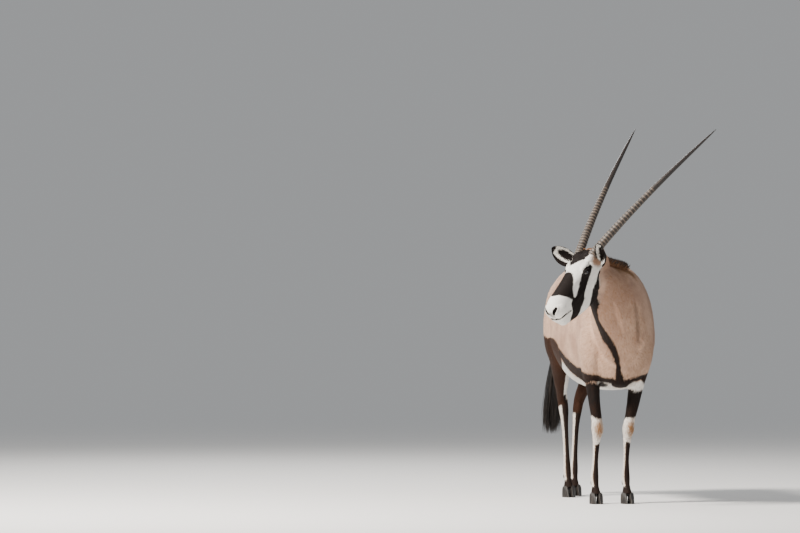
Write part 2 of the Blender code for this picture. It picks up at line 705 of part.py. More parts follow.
def build():
    clear_scene()
    whole = flesh()

    # Planes between head and neck, and between neck and torso; each normal points towards the head.
    head_point = at_head(-0.062, 0, -0.020)
    head_normal = (FORWARD * 0.80 + DORSAL * 0.60).normalized()
    neck_point = Vector((0, -0.455, 1.0))
    neck_normal = Vector((-0.05, -0.86, 0.51)).normalized()
    up = Vector((0, 0, 1))
    half_gap = GAP / 2

    spare = half_of(whole, head_point - head_normal * 0.006, head_normal, "spare_head")
    coarser(spare, HEAD_FACES)
    head = half_of(spare, head_point + head_normal * half_gap, head_normal, "head")
    remove(spare)
    spare = half_of(whole, head_point + head_normal * 0.006, -head_normal, "spare_rest")
    remove(whole)
    coarser(spare, BODY_FACES)
    rest = half_of(spare, head_point - head_normal * half_gap, -head_normal, "rest")
    remove(spare)
    neck = half_of(rest, neck_point + neck_normal * half_gap, neck_normal, "neck")
    trunk = half_of(rest, neck_point - neck_normal * half_gap, -neck_normal, "trunk")
    remove(rest)
    torso = half_of(trunk, up * (LEG_CUT + half_gap), up, "torso")
    legs = half_of(trunk, up * (LEG_CUT - half_gap), -up, "legs")
    remove(trunk)
    for group in islands(legs)[:4]:
        part = only(legs, group, "part")
        low = min((part.data.vertices[i].co for i in range(len(part.data.vertices))), key=lambda c: c.z)
        name = min(HOOVES, key=lambda n: (HOOVES[n][0] - low.x) ** 2 + (HOOVES[n][1] - low.y) ** 2)
        made = half_of(part, up * HOOF_TOP, up, name)
        painted(made, COAT_BLACK, 0.80)
        remove(part)
    remove(legs)
    painted(torso, COAT_TAN, 0.85)

    for sign, side in ((1, "left"), (-1, "right")):
        opening = eye_opening(sign)
        boolean(head, opening, "DIFFERENCE")
        rim = lid_rim(sign)
        boolean(head, rim, "UNION")
        remove(opening, rim)
        ball_of_eye = eye("eye_" + side, sign)
        painted(ball_of_eye, EYE_BLACK, 0.08)
        socket = grown(ball_of_eye, GAP, "socket")
        boolean(head, socket, "DIFFERENCE")
        remove(socket)
    cutters = muzzle_cutters()
    for cutter in cutters:
        boolean(head, cutter, "DIFFERENCE")
    remove(*cutters)
    head = largest(head)
    painted(head, COAT_WHITE, 0.85)

    for sign, side in ((1, "left"), (-1, "right")):
        made = seated(horn("horn_" + side, sign), head)
        painted(made, HORN_BROWN, 0.55)
    for side, (root, way, opening) in EARS.items():
        made = ear("ear_" + side, at_head(*root), way, opening, EAR_LENGTH)
        made = seated(made, head)
        made = seated(made, neck)
        for other in ("horn_left", "horn_right"):
            made = seated(made, bpy.data.objects[other])
        painted(made, COAT_WHITE, 0.85)

    neck = union("neck", [neck] + mane_locks())
    neck = seated(neck, head)
    for other in ("horn_left", "horn_right"):
        neck = seated(neck, bpy.data.objects[other])
    neck = half_of(neck, neck_point + neck_normal * half_gap, neck_normal, "neck_cut")
    remove(bpy.data.objects["neck"])
    neck.name = "neck"
    painted(neck, COAT_TAN, 0.85)

    tail = seated(union("tail", [tail_core()] + tail_locks()), torso)
    painted(tail, COAT_BLACK, 0.80)

    for name, (x, y) in HOOVES.items():
        made = hoof(name.replace("leg", "hoof"), x, y)
        painted(made, HOOF_GREY, 0.50)

    for item in bpy.data.objects:
        item.data.transform(Matrix.Translation(STAND_OFFSET))
        item.data.update()


build()
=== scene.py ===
import math

import bmesh
import bpy
import numpy as np
from mathutils import Matrix, Vector


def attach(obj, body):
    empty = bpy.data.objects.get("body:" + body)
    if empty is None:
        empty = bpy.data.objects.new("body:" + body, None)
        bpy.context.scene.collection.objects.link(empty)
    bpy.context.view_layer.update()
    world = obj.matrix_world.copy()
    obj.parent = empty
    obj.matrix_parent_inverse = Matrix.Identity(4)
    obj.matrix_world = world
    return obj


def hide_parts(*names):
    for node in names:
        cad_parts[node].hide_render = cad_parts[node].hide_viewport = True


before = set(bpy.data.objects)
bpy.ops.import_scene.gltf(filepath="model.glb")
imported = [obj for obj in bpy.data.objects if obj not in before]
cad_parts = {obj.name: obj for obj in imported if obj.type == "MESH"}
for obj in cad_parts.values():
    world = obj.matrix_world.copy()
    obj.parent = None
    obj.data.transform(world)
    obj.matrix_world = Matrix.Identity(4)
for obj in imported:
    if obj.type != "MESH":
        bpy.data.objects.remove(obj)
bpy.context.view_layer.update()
print("frame loaded:", len(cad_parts), "nodes")

stand = Vector((0.020, 0.140, 0.0))     # from the drawing's own middle to the stand's

# ---- head pose and helpers
headPose = {
    "yaw": math.radians(57),            # to the animal's right
    "drop": math.radians(45),           # of the face line below level
    "origin": Vector((-0.251, -0.885, 1.240)),
}
headLevel = Vector((-math.sin(headPose["yaw"]), -math.cos(headPose["yaw"]), 0))
forward = headLevel * math.cos(headPose["drop"]) - Vector((0, 0, math.sin(headPose["drop"])))
left = Vector((math.cos(headPose["yaw"]), -math.sin(headPose["yaw"]), 0))
dorsal = forward.cross(left)
headTurn = Matrix((forward, left, dorsal)).transposed()


bothSides = (("Left", 1), ("Right", -1))


def atHead(far, side, up):
    return headPose["origin"] + stand + forward * far + left * side + dorsal * up


def eased(rows, steps):
    # Points of a smooth curve through the rows.
    out = []
    for i in range(len(rows) - 1):
        a, b = rows[max(i - 1, 0)], rows[i]
        c, d = rows[i + 1], rows[min(i + 2, len(rows) - 1)]
        for k in range(steps):
            t = k / steps
            out.append([
                0.5 * (2 * q + (r - p) * t + (2 * p - 5 * q + 4 * r - s) * t ** 2
                       + (3 * q - p - 3 * r + s) * t ** 3)
                for p, q, r, s in zip(a, b, c, d)
            ])
    out.append(list(rows[-1]))
    return out


def oval(centre, side, up, half, rise, drop, count, fullness=1.0, pinch=0.0):
    # An oval with its own height above and below its widest line, narrowed below by the pinch.
    points = []
    for k in range(count):
        turn = 2 * math.pi * k / count
        across = math.copysign(abs(math.cos(turn)) ** fullness, math.cos(turn))
        high = math.copysign(abs(math.sin(turn)) ** fullness, math.sin(turn))
        across *= 1 - pinch * max(0.0, -high)
        points.append(centre + side * (half * across) + up * ((rise if high > 0 else drop) * high))
    return points


def wrapGrid(bm, rings, capped=True):
    # A grid rolled up through the rings, closed along its seam and at its ends.
    count, rows = len(rings[0]), len(rings)
    made = bmesh.ops.create_grid(bm, x_segments=count, y_segments=rows - 1, size=1.0)["verts"]
    for vert in made:
        column = round((vert.co.x + 1) / 2 * count) % count
        vert.co = rings[round((vert.co.y + 1) / 2 * (rows - 1))][column]
    bmesh.ops.remove_doubles(bm, verts=made, dist=1e-6)
    if capped:
        open_ = [e for e in bm.edges if e.is_boundary]
        bmesh.ops.holes_fill(bm, edges=open_, sides=0)


def linked(name, data):
    made = bpy.data.objects.new(name, data)
    bpy.context.scene.collection.objects.link(made)
    return made


def meshObject(name, bm):
    bmesh.ops.recalc_face_normals(bm, faces=bm.faces)
    for face in bm.faces:
        face.smooth = True
    mesh = bpy.data.meshes.new(name)
    bm.to_mesh(mesh)
    bm.free()
    return linked(name, mesh)


def applied(obj):
    graph = bpy.context.evaluated_depsgraph_get()
    made = bpy.data.meshes.new_from_object(obj.evaluated_get(graph))
    obj.modifiers.clear()
    obj.data = made
    return obj


def coordsOf(mesh):
    co = np.zeros(len(mesh.vertices) * 3, np.float32)
    mesh.vertices.foreach_get("co", co)
    return co.reshape(-1, 3).astype(float)


def normalsOf(mesh):
    out = np.zeros(len(mesh.vertices) * 3, np.float32)
    mesh.vertex_normals.foreach_get("vector", out)
    return out.reshape(-1, 3).astype(float)


def setCoords(mesh, co):
    mesh.vertices.foreach_set("co", co.astype(np.float32).ravel())
    mesh.update()


def unit(v):
    return v / np.maximum(np.linalg.norm(v, axis=-1, keepdims=True), 1e-12)


def least(first, *others):
    for other in others:
        first = np.minimum(first, other)
    return first


def most(first, *others):
    for other in others:
        first = np.maximum(first, other)
    return first


def arrays(vectors):
    return [np.array(v) for v in vectors]


def ramp(x, low, high):
    t = np.clip((x - low) / (high - low), 0, 1)
    return t * t * (3 - 2 * t)


# ---- the body's own sections in millimetres, before the stand's offset
def bell(d, wide):
    # One at zero, fading alike on either side.
    return np.exp(-(d / wide) ** 2)


def inMetres(rows):
    return tuple(tuple(v / 1000 for v in row) for row in rows)


torsoRows = inMetres((   # y, middle x, top, bottom, half width, height of the widest line
    (-615, 4, 860, 640, 70, 760), (-585, 3, 970, 590, 124, 790), (-510, 3, 1090, 566, 166, 830),
    (-410, 4, 1170, 560, 186, 850), (-300, 6, 1190, 556, 189, 840), (-180, 6, 1172, 552, 193, 820),
    (0, -2, 1150, 552, 203, 800), (160, -8, 1145, 562, 205, 800), (300, -15, 1158, 592, 196, 830),
    (430, -22, 1170, 645, 182, 870), (540, -30, 1150, 715, 165, 900), (630, -36, 1105, 800, 130, 930),
    (690, -40, 1030, 885, 70, 950),
))
neckRows = inMetres((   # centre, crest, half width
    (0, -400, 900, 5, -290, 1170, 165), (-2, -520, 925, 15, -430, 1172, 152), (-32, -630, 980, 0, -570, 1168, 124),
    (-86, -722, 1032, -50, -675, 1175, 104), (-135, -790, 1078, -105, -760, 1188, 90),
    (-175, -835, 1115, -155, -820, 1202, 80), (-215, -862, 1142, -205, -850, 1214, 70),
))
legRows = {     # x, y, z, half the side to side size, half the front to back size
    "foreleg_left": inMetres((
        (100, -450, 860, 70, 115), (104, -470, 760, 70, 115), (102, -435, 660, 56, 85), (92, -436, 580, 42, 56),
        (78, -445, 500, 34, 42), (60, -452, 420, 28, 33), (51, -460, 368, 31, 36), (46, -454, 315, 21, 27),
        (42, -450, 220, 16.5, 23), (40, -452, 130, 22.5, 28), (40, -472, 85, 20, 24), (40, -486, 40, 31, 37),
    )),
    "foreleg_right": inMetres((
        (-115, -450, 860, 70, 115), (-125, -470, 760, 70, 115), (-127, -435, 660, 55, 85), (-123, -436, 580, 38, 54),
        (-117, -445, 500, 31, 41), (-107, -452, 420, 28, 33), (-104, -460, 368, 32, 36), (-108, -454, 315, 21, 27),
        (-113, -450, 220, 16.5, 23), (-117, -452, 130, 22.5, 28), (-117, -472, 85, 20, 24), (-117, -486, 40, 31, 37),
    )),
    "hindleg_right": inMetres((
        (-105, 470, 1020, 70, 130), (-130, 450, 920, 82, 170), (-142, 425, 800, 76, 160), (-140, 405, 700, 60, 115),
        (-132, 440, 610, 44, 74), (-121, 490, 535, 31, 52), (-111, 517, 485, 28, 46), (-105, 508, 430, 25, 34),
        (-103, 486, 350, 18, 26), (-101, 462, 230, 17, 24), (-100, 440, 130, 22, 28), (-100, 420, 85, 19.5, 24),
        (-100, 405, 40, 30, 36),
    )),
    "hindleg_left": inMetres((
        (45, 500, 1020, 70, 130), (72, 500, 920, 82, 170), (85, 500, 800, 76, 160), (72, 510, 700, 60, 115),
        (45, 570, 610, 44, 74), (15, 640, 535, 31, 52), (3, 675, 485, 28, 46), (-8, 670, 430, 25, 34),
        (-18, 655, 350, 18, 26), (-27, 640, 230, 17, 24), (-33, 622, 130, 22, 28), (-35, 602, 85, 19.5, 24),
        (-37, 588, 40, 30, 36),
    )),
}
headRows = inMetres((   # distance forward of the horns, top, bottom, half width, height of the widest line
    (-85, -32, -150, 50, -85), (-50, -6, -178, 68, -80), (0, 8, -194, 77, -76), (50, 14, -208, 78, -74),
    (95, 13, -212, 71, -77), (145, 9, -207, 65, -82), (200, 5, -196, 61, -83), (250, 3, -182, 58, -82),
    (288, 2, -169, 56.5, -79), (318, -4, -158, 54, -77), (341, -18, -144, 47, -77), (355, -40, -118, 34, -76),
))
eyeShape = {"radius": 0.0186, "place": (0.086, 0.0575, -0.034), "half": 0.0165, "above": 0.0105, "below": 0.0085}
muzzleShape = {     # lines on the face: distance forward, out to the side, up, half width
    "nostril": inMetres(((326, 38, -34, 3), (335, 36, -34, 6.2), (345, 29, -40, 8.2), (352, 21, -49, 7),
                         (356, 15.5, -60, 1.6))),
    "mouth": inMetres(((366, 0, -92, 1.8), (358, 12, -90, 1.9), (350, 28, -87, 2), (334, 45, -87, 2),
                       (316, 52, -90, 1.8), (300, 54, -94, 1.4), (286, 54, -101, 0.6))),
    "crest": inMetres(((100, 71, -78, 2), (160, 65, -84, 2), (220, 60, -88, 1))),
    "hollow": inMetres(((125, 58, -40, 4), (175, 53, -44, 4), (235, 51, -52, 2))),
}
skinShape = {
    "voxel": 0.0028,
    "evening": 26,              # smoothing rounds on the body
    "triangles": 188000,
    "depth": (0.0050, 0.0030, 0.0016),      # of the coat over it: body, legs, head
}


def alongAt(centres, i):
    return (centres[min(i + 1, len(centres) - 1)] - centres[max(i - 1, 0)]).normalized()


def tubeRings(rows, side, steps, count):
    fine = eased(rows, steps)
    centres = [Vector(row[:3]) for row in fine]
    rings = []
    for i, row in enumerate(fine):
        along = alongAt(centres, i)
        across = (side - along * side.dot(along)).normalized()
        ring = oval(centres[i], across, along.cross(across), row[3], row[4], row[4], count)
        rings.append([stand + p for p in ring])
    return rings


def addBall(bm, centre, radii, turn=Matrix.Identity(3), segments=24):
    made = bmesh.ops.create_uvsphere(bm, u_segments=segments, v_segments=segments // 2, radius=1.0)["verts"]
    shape = Matrix.Translation(centre) @ turn.to_4x4() @ Matrix.Diagonal((*radii, 1.0))
    bmesh.ops.transform(bm, matrix=shape, verts=made)


headSwells = (  # brow, cheek, upper lip and horn root: place and radii on the head's axes
    ((0.066, 0.054, -0.010), (0.032, 0.017, 0.016)), ((0.055, 0.050, -0.115), (0.065, 0.026, 0.050)),
    ((0.312, 0.028, -0.062), (0.046, 0.031, 0.042)), ((0.006, 0.036, -0.012), (0.036, 0.037, 0.027)),
)


def bodyForms():
    # Every mass of flesh as its own closed form, still overlapping.
    bm = bmesh.new()
    across, up = Vector((1, 0, 0)), Vector((0, 0, 1))
    rings = [oval(stand + Vector((mid, y, widest)), across, up, half, top - widest, widest - bottom, 40, 0.93)
             for y, mid, top, bottom, half, widest in eased(torsoRows, 4)]
    wrapGrid(bm, rings)
    rows = eased(neckRows, 5)
    centres = [Vector(row[:3]) for row in rows]
    rings = []
    for i, row in enumerate(rows):
        crest = Vector(row[3:6]) - centres[i]
        side = crest.cross(alongAt(centres, i)).normalized()
        rings.append(oval(stand + centres[i], side, crest.normalized(), row[6], crest.length, crest.length, 36))
    wrapGrid(bm, rings)
    rings = [oval(atHead(far, 0, widest), left, dorsal, half, top - widest, widest - bottom, 36, 0.88, 0.30)
             for far, top, bottom, half, widest in eased(headRows, 4)]
    wrapGrid(bm, rings)
    for rows in legRows.values():
        wrapGrid(bm, tubeRings(rows, across, 5, 24))
    far, out, high = eyeShape["place"]
    for sign in (1, -1):
        addBall(bm, atHead(far, sign * out, high), (eyeShape["radius"] + 0.0062,) * 3)
        for place, radii in headSwells:
            addBall(bm, atHead(place[0], sign * place[1], place[2]), radii, headTurn)
    addBall(bm, atHead(0.315, 0, -0.132), (0.034, 0.030, 0.026), headTurn)
    for x, y in ((0.070, 0.580), (-0.120, 0.560)):
        addBall(bm, stand + Vector((x, y, 0.885)), (0.078, 0.105, 0.205))
    return meshObject("skin", bm)


def headCoords(co):
    rel = co - np.array(headPose["origin"] + stand)
    far, side, up = rel @ np.array(forward), rel @ np.array(left), rel @ np.array(dorsal)
    return far, side, up, np.degrees(np.arctan2(side, up + 0.075))


def headShare(co):
    # 1 on the head, 0 behind the jaw.
    rel = co - np.array(atHead(-0.062, 0, -0.020))
    way = (forward * 0.80 + dorsal * 0.60).normalized()
    return ramp(rel @ np.array(way), -0.015, 0.015)


def makeSkin():
    skin = bodyForms()
    step = skin.modifiers.new("Remesh", "REMESH")
    step.mode = "VOXEL"
    step.voxel_size = skinShape["voxel"]
    applied(skin)
    co = coordsOf(skin.data)
    onHead = headShare(co)
    onLeg = ramp(-co[:, 2], -0.60, -0.45)
    soft = skin.vertex_groups.new(name="soft")
    softness = np.maximum(0.02, (1 - onHead) * (1 - 0.75 * onLeg))
    for level in range(1, 11):
        chosen = np.nonzero(np.round(softness * 10) == level)[0]
        soft.add(chosen.tolist(), level / 10, "REPLACE")
    for group, rounds in (("soft", skinShape["evening"]), ("", 5)):
        step = skin.modifiers.new("Even", "SMOOTH")
        step.factor = 0.5
        step.iterations = rounds
        step.vertex_group = group
    applied(skin)
    return skin


skin = makeSkin()
print("skin vertices:", len(skin.data.vertices))


def sculptSkin(skin):
    # Hollows and swells too small for the sections, moved along the skin's own normals.
    co, normal = coordsOf(skin.data), normalsOf(skin.data)
    far, side, up, angle = headCoords(co)
    onHead = headShare(co)
    reach = np.abs(side)

    # Nostrils, each a slanted comma with a raised wing round it
    d = muzzleDistance(co, "nostril")
    depth = 0.0140 * ramp(-d, -0.0015, 0.0060) * onHead
    wing = 0.0030 * bell(d - 0.0050, 0.0034) * onHead * (far > 0.28)
    moved = normal * (wing - depth)[:, None]

    # The mouth, a shallow groove between the lips
    d = muzzleDistance(co, "mouth")
    groove = 0.0055 * bell(np.maximum(d, 0), 0.0026) * onHead
    lips = 0.0022 * bell(d - 0.0078, 0.0045) * onHead * ramp(far, 0.26, 0.30)
    moved += normal * (lips - groove)[:, None]

    # A flat bridge to the nose, and the facial crest under the eye
    bridge = 0.0022 * bell(reach, 0.012) * ramp(far, 0.08, 0.14) * ramp(-far, -0.30, -0.22) * (up > -0.06)
    crest = bell(np.maximum(muzzleDistance(co, "crest"), 0), 0.009)
    hollow = bell(np.maximum(muzzleDistance(co, "hollow"), 0), 0.010)
    moved += normal * ((0.0026 * crest - 0.0022 * hollow - bridge) * onHead)[:, None]

    # Muscles and bones of the body
    for sign in (1, -1):
        for *ends, wide, high in bodySwells:
            d = lineDistance(co - np.array(stand), np.reshape(ends, (2, 3)) * (sign, 1, 1))
            moved += normal * (high * bell(d, wide) * (1 - onHead))[:, None]
    for kind, low, high, sharp, tall in legSwells:
        for name in (kind + "_left", kind + "_right"):
            middle = (low + high) / 2
            centre = legCentre(name, middle)
            near = bell(co[:, 2] - middle, (high - low) / 2)
            lane = (np.abs(co[:, 0] - centre[0]) < 0.06) * (np.abs(co[:, 1] - centre[1]) < 0.11)
            moved += normal * (tall * near * np.clip(normal[:, 1], 0, 1) ** sharp * lane)[:, None]
    co += moved

    # Room for the eyeballs: the skin inside each opening dives behind the ball, and clears it outside
    for sign in (1, -1):
        centre, rel, a, b, c = atEye(sign, co)
        size = np.hypot(a / eyeShape["half"], b / np.where(b > 0, eyeShape["above"], eyeShape["below"]))
        length = np.linalg.norm(rel, axis=1)
        inside = (c > 0) & (length < 0.045) & (size < 1.0)
        shell = (c > -0.004) & (length < 0.045) & (size >= 1.0)
        target = np.where(inside, eyeShape["radius"] - 0.0035, np.maximum(length, eyeShape["radius"] + 0.0012))
        near = inside | shell
        co[near] = centre + rel[near] * (target[near] / length[near])[:, None]
    setCoords(skin.data, co)


def lineDistance(points, line, radii=None):
    # Distance to the nearest of the line's pieces, less its radius there.
    radii = np.zeros(len(line)) if radii is None else radii
    best = np.full(len(points), 1e9)
    for a, b, ra, rb in zip(line[:-1], line[1:], radii[:-1], radii[1:]):
        ab = b - a
        t = np.clip((points - a) @ ab / max(ab @ ab, 1e-12), 0, 1)
        d = np.linalg.norm(points - a - t[:, None] * ab, axis=1) - (ra + (rb - ra) * t)
        best = np.minimum(best, d)
    return best


def muzzleDistance(co, name, inward=(0, 0, 0), steps=1, wider=0.0):
    # Distance to the nostrils or the mouth on either side, also down to the bottom of their hollows.
    far, side, up, angle = headCoords(co)
    spot, line = np.stack((far, np.abs(side), up), 1), np.array(muzzleShape[name])
    return np.minimum.reduce([lineDistance(spot, line[:, :3] - np.array(inward) * k, line[:, 3] + wider * k)
                              for k in range(steps)])


def nostrilDistance(co):
    return muzzleDistance(co, "nostril", (0.0060, 0.0055, 0.0050), 3, 0.0010)


def mouthDistance(co):
    return muzzleDistance(co, "mouth", (0.0020, 0.0025, 0.0), 2)


def whichLeg(x, y):
    # Whether each point is on a foreleg, and whether on the right.
    onFore = y < 0.05
    return onFore, x < np.where(onFore, -0.02, -0.045)


def legCentre(name, z):
    rows = legRows[name]
    for a, b in zip(rows, rows[1:]):
        if b[2] <= z <= a[2]:
            t = (a[2] - z) / (a[2] - b[2])
            return stand[0] + a[0] + (b[0] - a[0]) * t, stand[1] + a[1] + (b[1] - a[1]) * t
    return stand[0] + rows[-1][0], stand[1] + rows[-1][1]


def eyeAxes(sign):
    far, side, high = eyeShape["place"]
    centre = atHead(far, sign * side, high)
    out = (left * sign * 0.90 + dorsal * 0.34 + forward * 0.24).normalized()
    front = (forward - out * forward.dot(out)).normalized()
    top = (dorsal - out * dorsal.dot(out) - front * dorsal.dot(front)).normalized()
    return centre, out, front, top


def atEye(sign, co):
    # Places from the eye's centre, and their distances to its front, top and outside.
    centre, out, front, top = arrays(eyeAxes(sign))
    rel = co - centre
    return centre, rel, rel @ front, rel @ top, rel @ out


bodySwells = inMetres((     # from, to (before the stand's offset, mirrored), reach, height
    (120, -300, 1060, 150, -440, 800, 75, 6),       # shoulder blade
    (165, -400, 800, 160, -330, 700, 55, 5),        # upper arm
    (185, -235, 1020, 190, -230, 720, 40, -5),      # hollow behind the shoulder
    (175, 300, 960, 180, 180, 760, 60, -7),         # flank hollow
    (130, 300, 1090, 140, 380, 1060, 45, 5),        # hip bone
    (150, 470, 960, 150, 420, 780, 80, 6),          # thigh
    (110, -520, 880, 60, -570, 800, 40, 4),         # point of the shoulder
))
legSwells = (   # on the back of each leg: lowest, highest, sharpness, height
    ("foreleg", 0.150, 0.320, 3, -0.003), ("foreleg", 0.100, 0.145, 2, 0.005),
    ("hindleg", 0.100, 0.145, 2, 0.005), ("hindleg", 0.470, 0.540, 3, 0.005),
)
sculptSkin(skin)


def thinSkin(skin):
    # Fewer faces, most of them kept on the head, and drawn in by the depth of the coat.
    total = sum(len(p.vertices) - 2 for p in skin.data.polygons)
    share = skin.vertex_groups.new(name="body")
    onHead = headShare(coordsOf(skin.data))
    share.add(np.nonzero(onHead < 0.5)[0].tolist(), 1.0, "REPLACE")
    step = skin.modifiers.new("Thin", "DECIMATE")
    step.ratio = skinShape["triangles"] / total
    step.vertex_group = "body"
    step.vertex_group_factor = 0.6
    step.use_collapse_triangulate = True
    applied(skin)
    co, normal = coordsOf(skin.data), normalsOf(skin.data)
    onHead, onLeg = headShare(co), ramp(-co[:, 2], -0.60, -0.45)
    body, leg, face = skinShape["depth"]
    depth = (body * (1 - onLeg) + leg * onLeg) * (1 - onHead) + face * onHead
    setCoords(skin.data, co - normal * depth[:, None])
    skin.vertex_groups.clear()
    skin.data.polygons.foreach_set("use_smooth", np.ones(len(skin.data.polygons), bool))


thinSkin(skin)
print("skin triangles:", len(skin.data.polygons))


# ---- markings, as distances in metres: above zero inside each colour
def insideOf(points, outline):
    # Signed distance of flat points to a closed outline, positive inside.
    outline = np.array(outline, float)
    after = np.roll(outline, -1, axis=0)
    best = np.full(len(points), 1e9)
    inside = np.zeros(len(points), bool)
    for a, b in zip(outline, after):
        ab = b - a
        t = np.clip((points - a) @ ab / max(ab @ ab, 1e-12), 0, 1)
        best = np.minimum(best, np.linalg.norm(points - a - t[:, None] * ab, axis=1))
        crosses = (a[1] > points[:, 1]) != (b[1] > points[:, 1])
        with np.errstate(divide="ignore", invalid="ignore"):
            x = a[0] + (points[:, 1] - a[1]) * (b[0] - a[0]) / (b[1] - a[1])
        inside ^= crosses & (points[:, 0] < x)
    return np.where(inside, best, -best)


roundHead = 0.072       # the head's usual radius, which turns angles into lengths
faceMarks = {       # outlines by distance forward of the horns and angle round the head in degrees
    "forehead": (
        (-40, -38), (-40, 34), (10, 33), (22, 30), (34, 25), (47, 17), (63, 8), (77, -2), (85, -11), (82, -20),
        (70, -29), (46, -36), (10, -40),
    ),
    "nose": (
        (126, -4), (127, 10), (136, 20), (153, 30), (176, 40), (198, 50), (212, 61), (223, 76), (230, 92), (252, 92),
        (243, 79), (249, 61), (260, 41), (270, 22), (282, 6), (284, -4), (282, -14), (270, -30), (260, -49),
        (249, -69), (243, -87), (252, -98), (230, -98), (223, -84), (212, -69), (198, -58), (176, -48), (153, -38),
        (136, -28), (127, -18),
    ),
    "stripe": (
        (40, 51), (51, 50), (73, 45), (95, 43), (111, 46), (135, 54), (155, 60), (171, 68), (196, 77), (216, 85),
        (243, 80), (262, 91), (268, 107), (273, 124), (285, 139), (298, 150), (305, 168), (290, 182), (262, 176),
        (240, 163), (217, 149), (198, 141), (179, 133), (172, 120), (156, 106), (142, 96), (124, 89), (108, 83),
        (90, 76), (64, 69), (45, 62),
    ),
    "throat": (
        (26, 92), (45, 98), (55, 104), (74, 112), (100, 120), (113, 132), (126, 143), (147, 156), (162, 166),
        (172, 182), (172, 200), (106, 200), (104, 180), (97, 168), (85, 155), (76, 131), (60, 116), (40, 107),
        (24, 102),
    ),
    "behind": (
        (-200, 86), (10, 92), (26, 98), (45, 109), (62, 120), (78, 134), (87, 155), (99, 168), (106, 182), (106, 200),
        (-200, 200),
    ),
    "temple": (
        (-60, 38), (0, 42), (14, 42), (27, 49), (37, 57), (34, 68), (22, 80), (0, 92), (-60, 92),
    ),
}
bodyMarks = {       # bands by x, y, z and half width, edges by y and z
    "throat": inMetres((
        (-170, -700, 1015, 20), (-166, -690, 993, 20), (-164, -650, 967, 19), (-153, -628, 942, 18),
        (-144, -590, 917, 18), (-127, -578, 887, 19), (-105, -568, 857, 19), (-85, -563, 832, 19),
        (-63, -552, 807, 18), (-45, -539, 782, 17), (-30, -521, 752, 15), (-16, -503, 722, 13), (-7, -481, 691, 12),
        (-4, -474, 662, 13), (2, -469, 632, 20),
    )),
    "chest": inMetres((
        (-175, -345, 648, 14), (-138, -360, 636, 13), (-104, -370, 623, 14), (-67, -408, 619, 14),
        (-34, -449, 617, 14), (5, -457, 606, 18), (54, -460, 615, 13), (75, -456, 624, 11), (97, -446, 627, 12),
        (120, -410, 634, 10), (142, -362, 632, 11), (170, -340, 640, 12),
    )),
    # a painted highlight: pale streak on the front of the neck
    "pale": inMetres((
        (-74, -707, 1010, 4), (-60, -690, 980, 10), (-50, -679, 958, 12), (-29, -643, 908, 10), (-10, -610, 860, 4),
    )),
    # a painted highlight: pale patch on the front of the left shoulder
    "shoulderHighlight": inMetres((
        (94, -516, 825, 6), (110, -490, 795, 12), (88, -500, 768, 5),
    )),
    # painted shade along a crease between the neck and the left shoulder
    "creaseShade": inMetres((
        (50, -610, 1000, 2), (60, -592, 956, 8), (69, -570, 906, 10), (83, -524, 816, 6), (112, -484, 790, 4),
    )),
    "flankUpper": inMetres((
        (-500, 640), (-360, 644), (-328, 655), (-26, 675), (45, 698), (112, 722), (173, 745), (300, 800),
    )),
    "flankLower": inMetres((
        (-500, 620), (-360, 618), (-324, 602), (27, 600), (73, 618), (116, 640), (170, 668), (205, 705), (300, 790),
    )),
    "belly": inMetres((
        (-500, 612), (-324, 598), (27, 598), (116, 632), (205, 690), (300, 740),
    )),
}


frontLook = Vector((math.sin(math.radians(9)), math.cos(math.radians(9)), 0))


def seenFlat(co):
    # Across and up, looking along the front of the animal.
    co = np.atleast_2d(co)
    return np.stack((co[:, 0] * frontLook.y - co[:, 1] * frontLook.x, np.zeros(len(co)), co[:, 2]), 1)


def markBand(seen, name):
    line = np.array(bodyMarks[name])
    return -lineDistance(seen, seenFlat(line), line[:, 3])


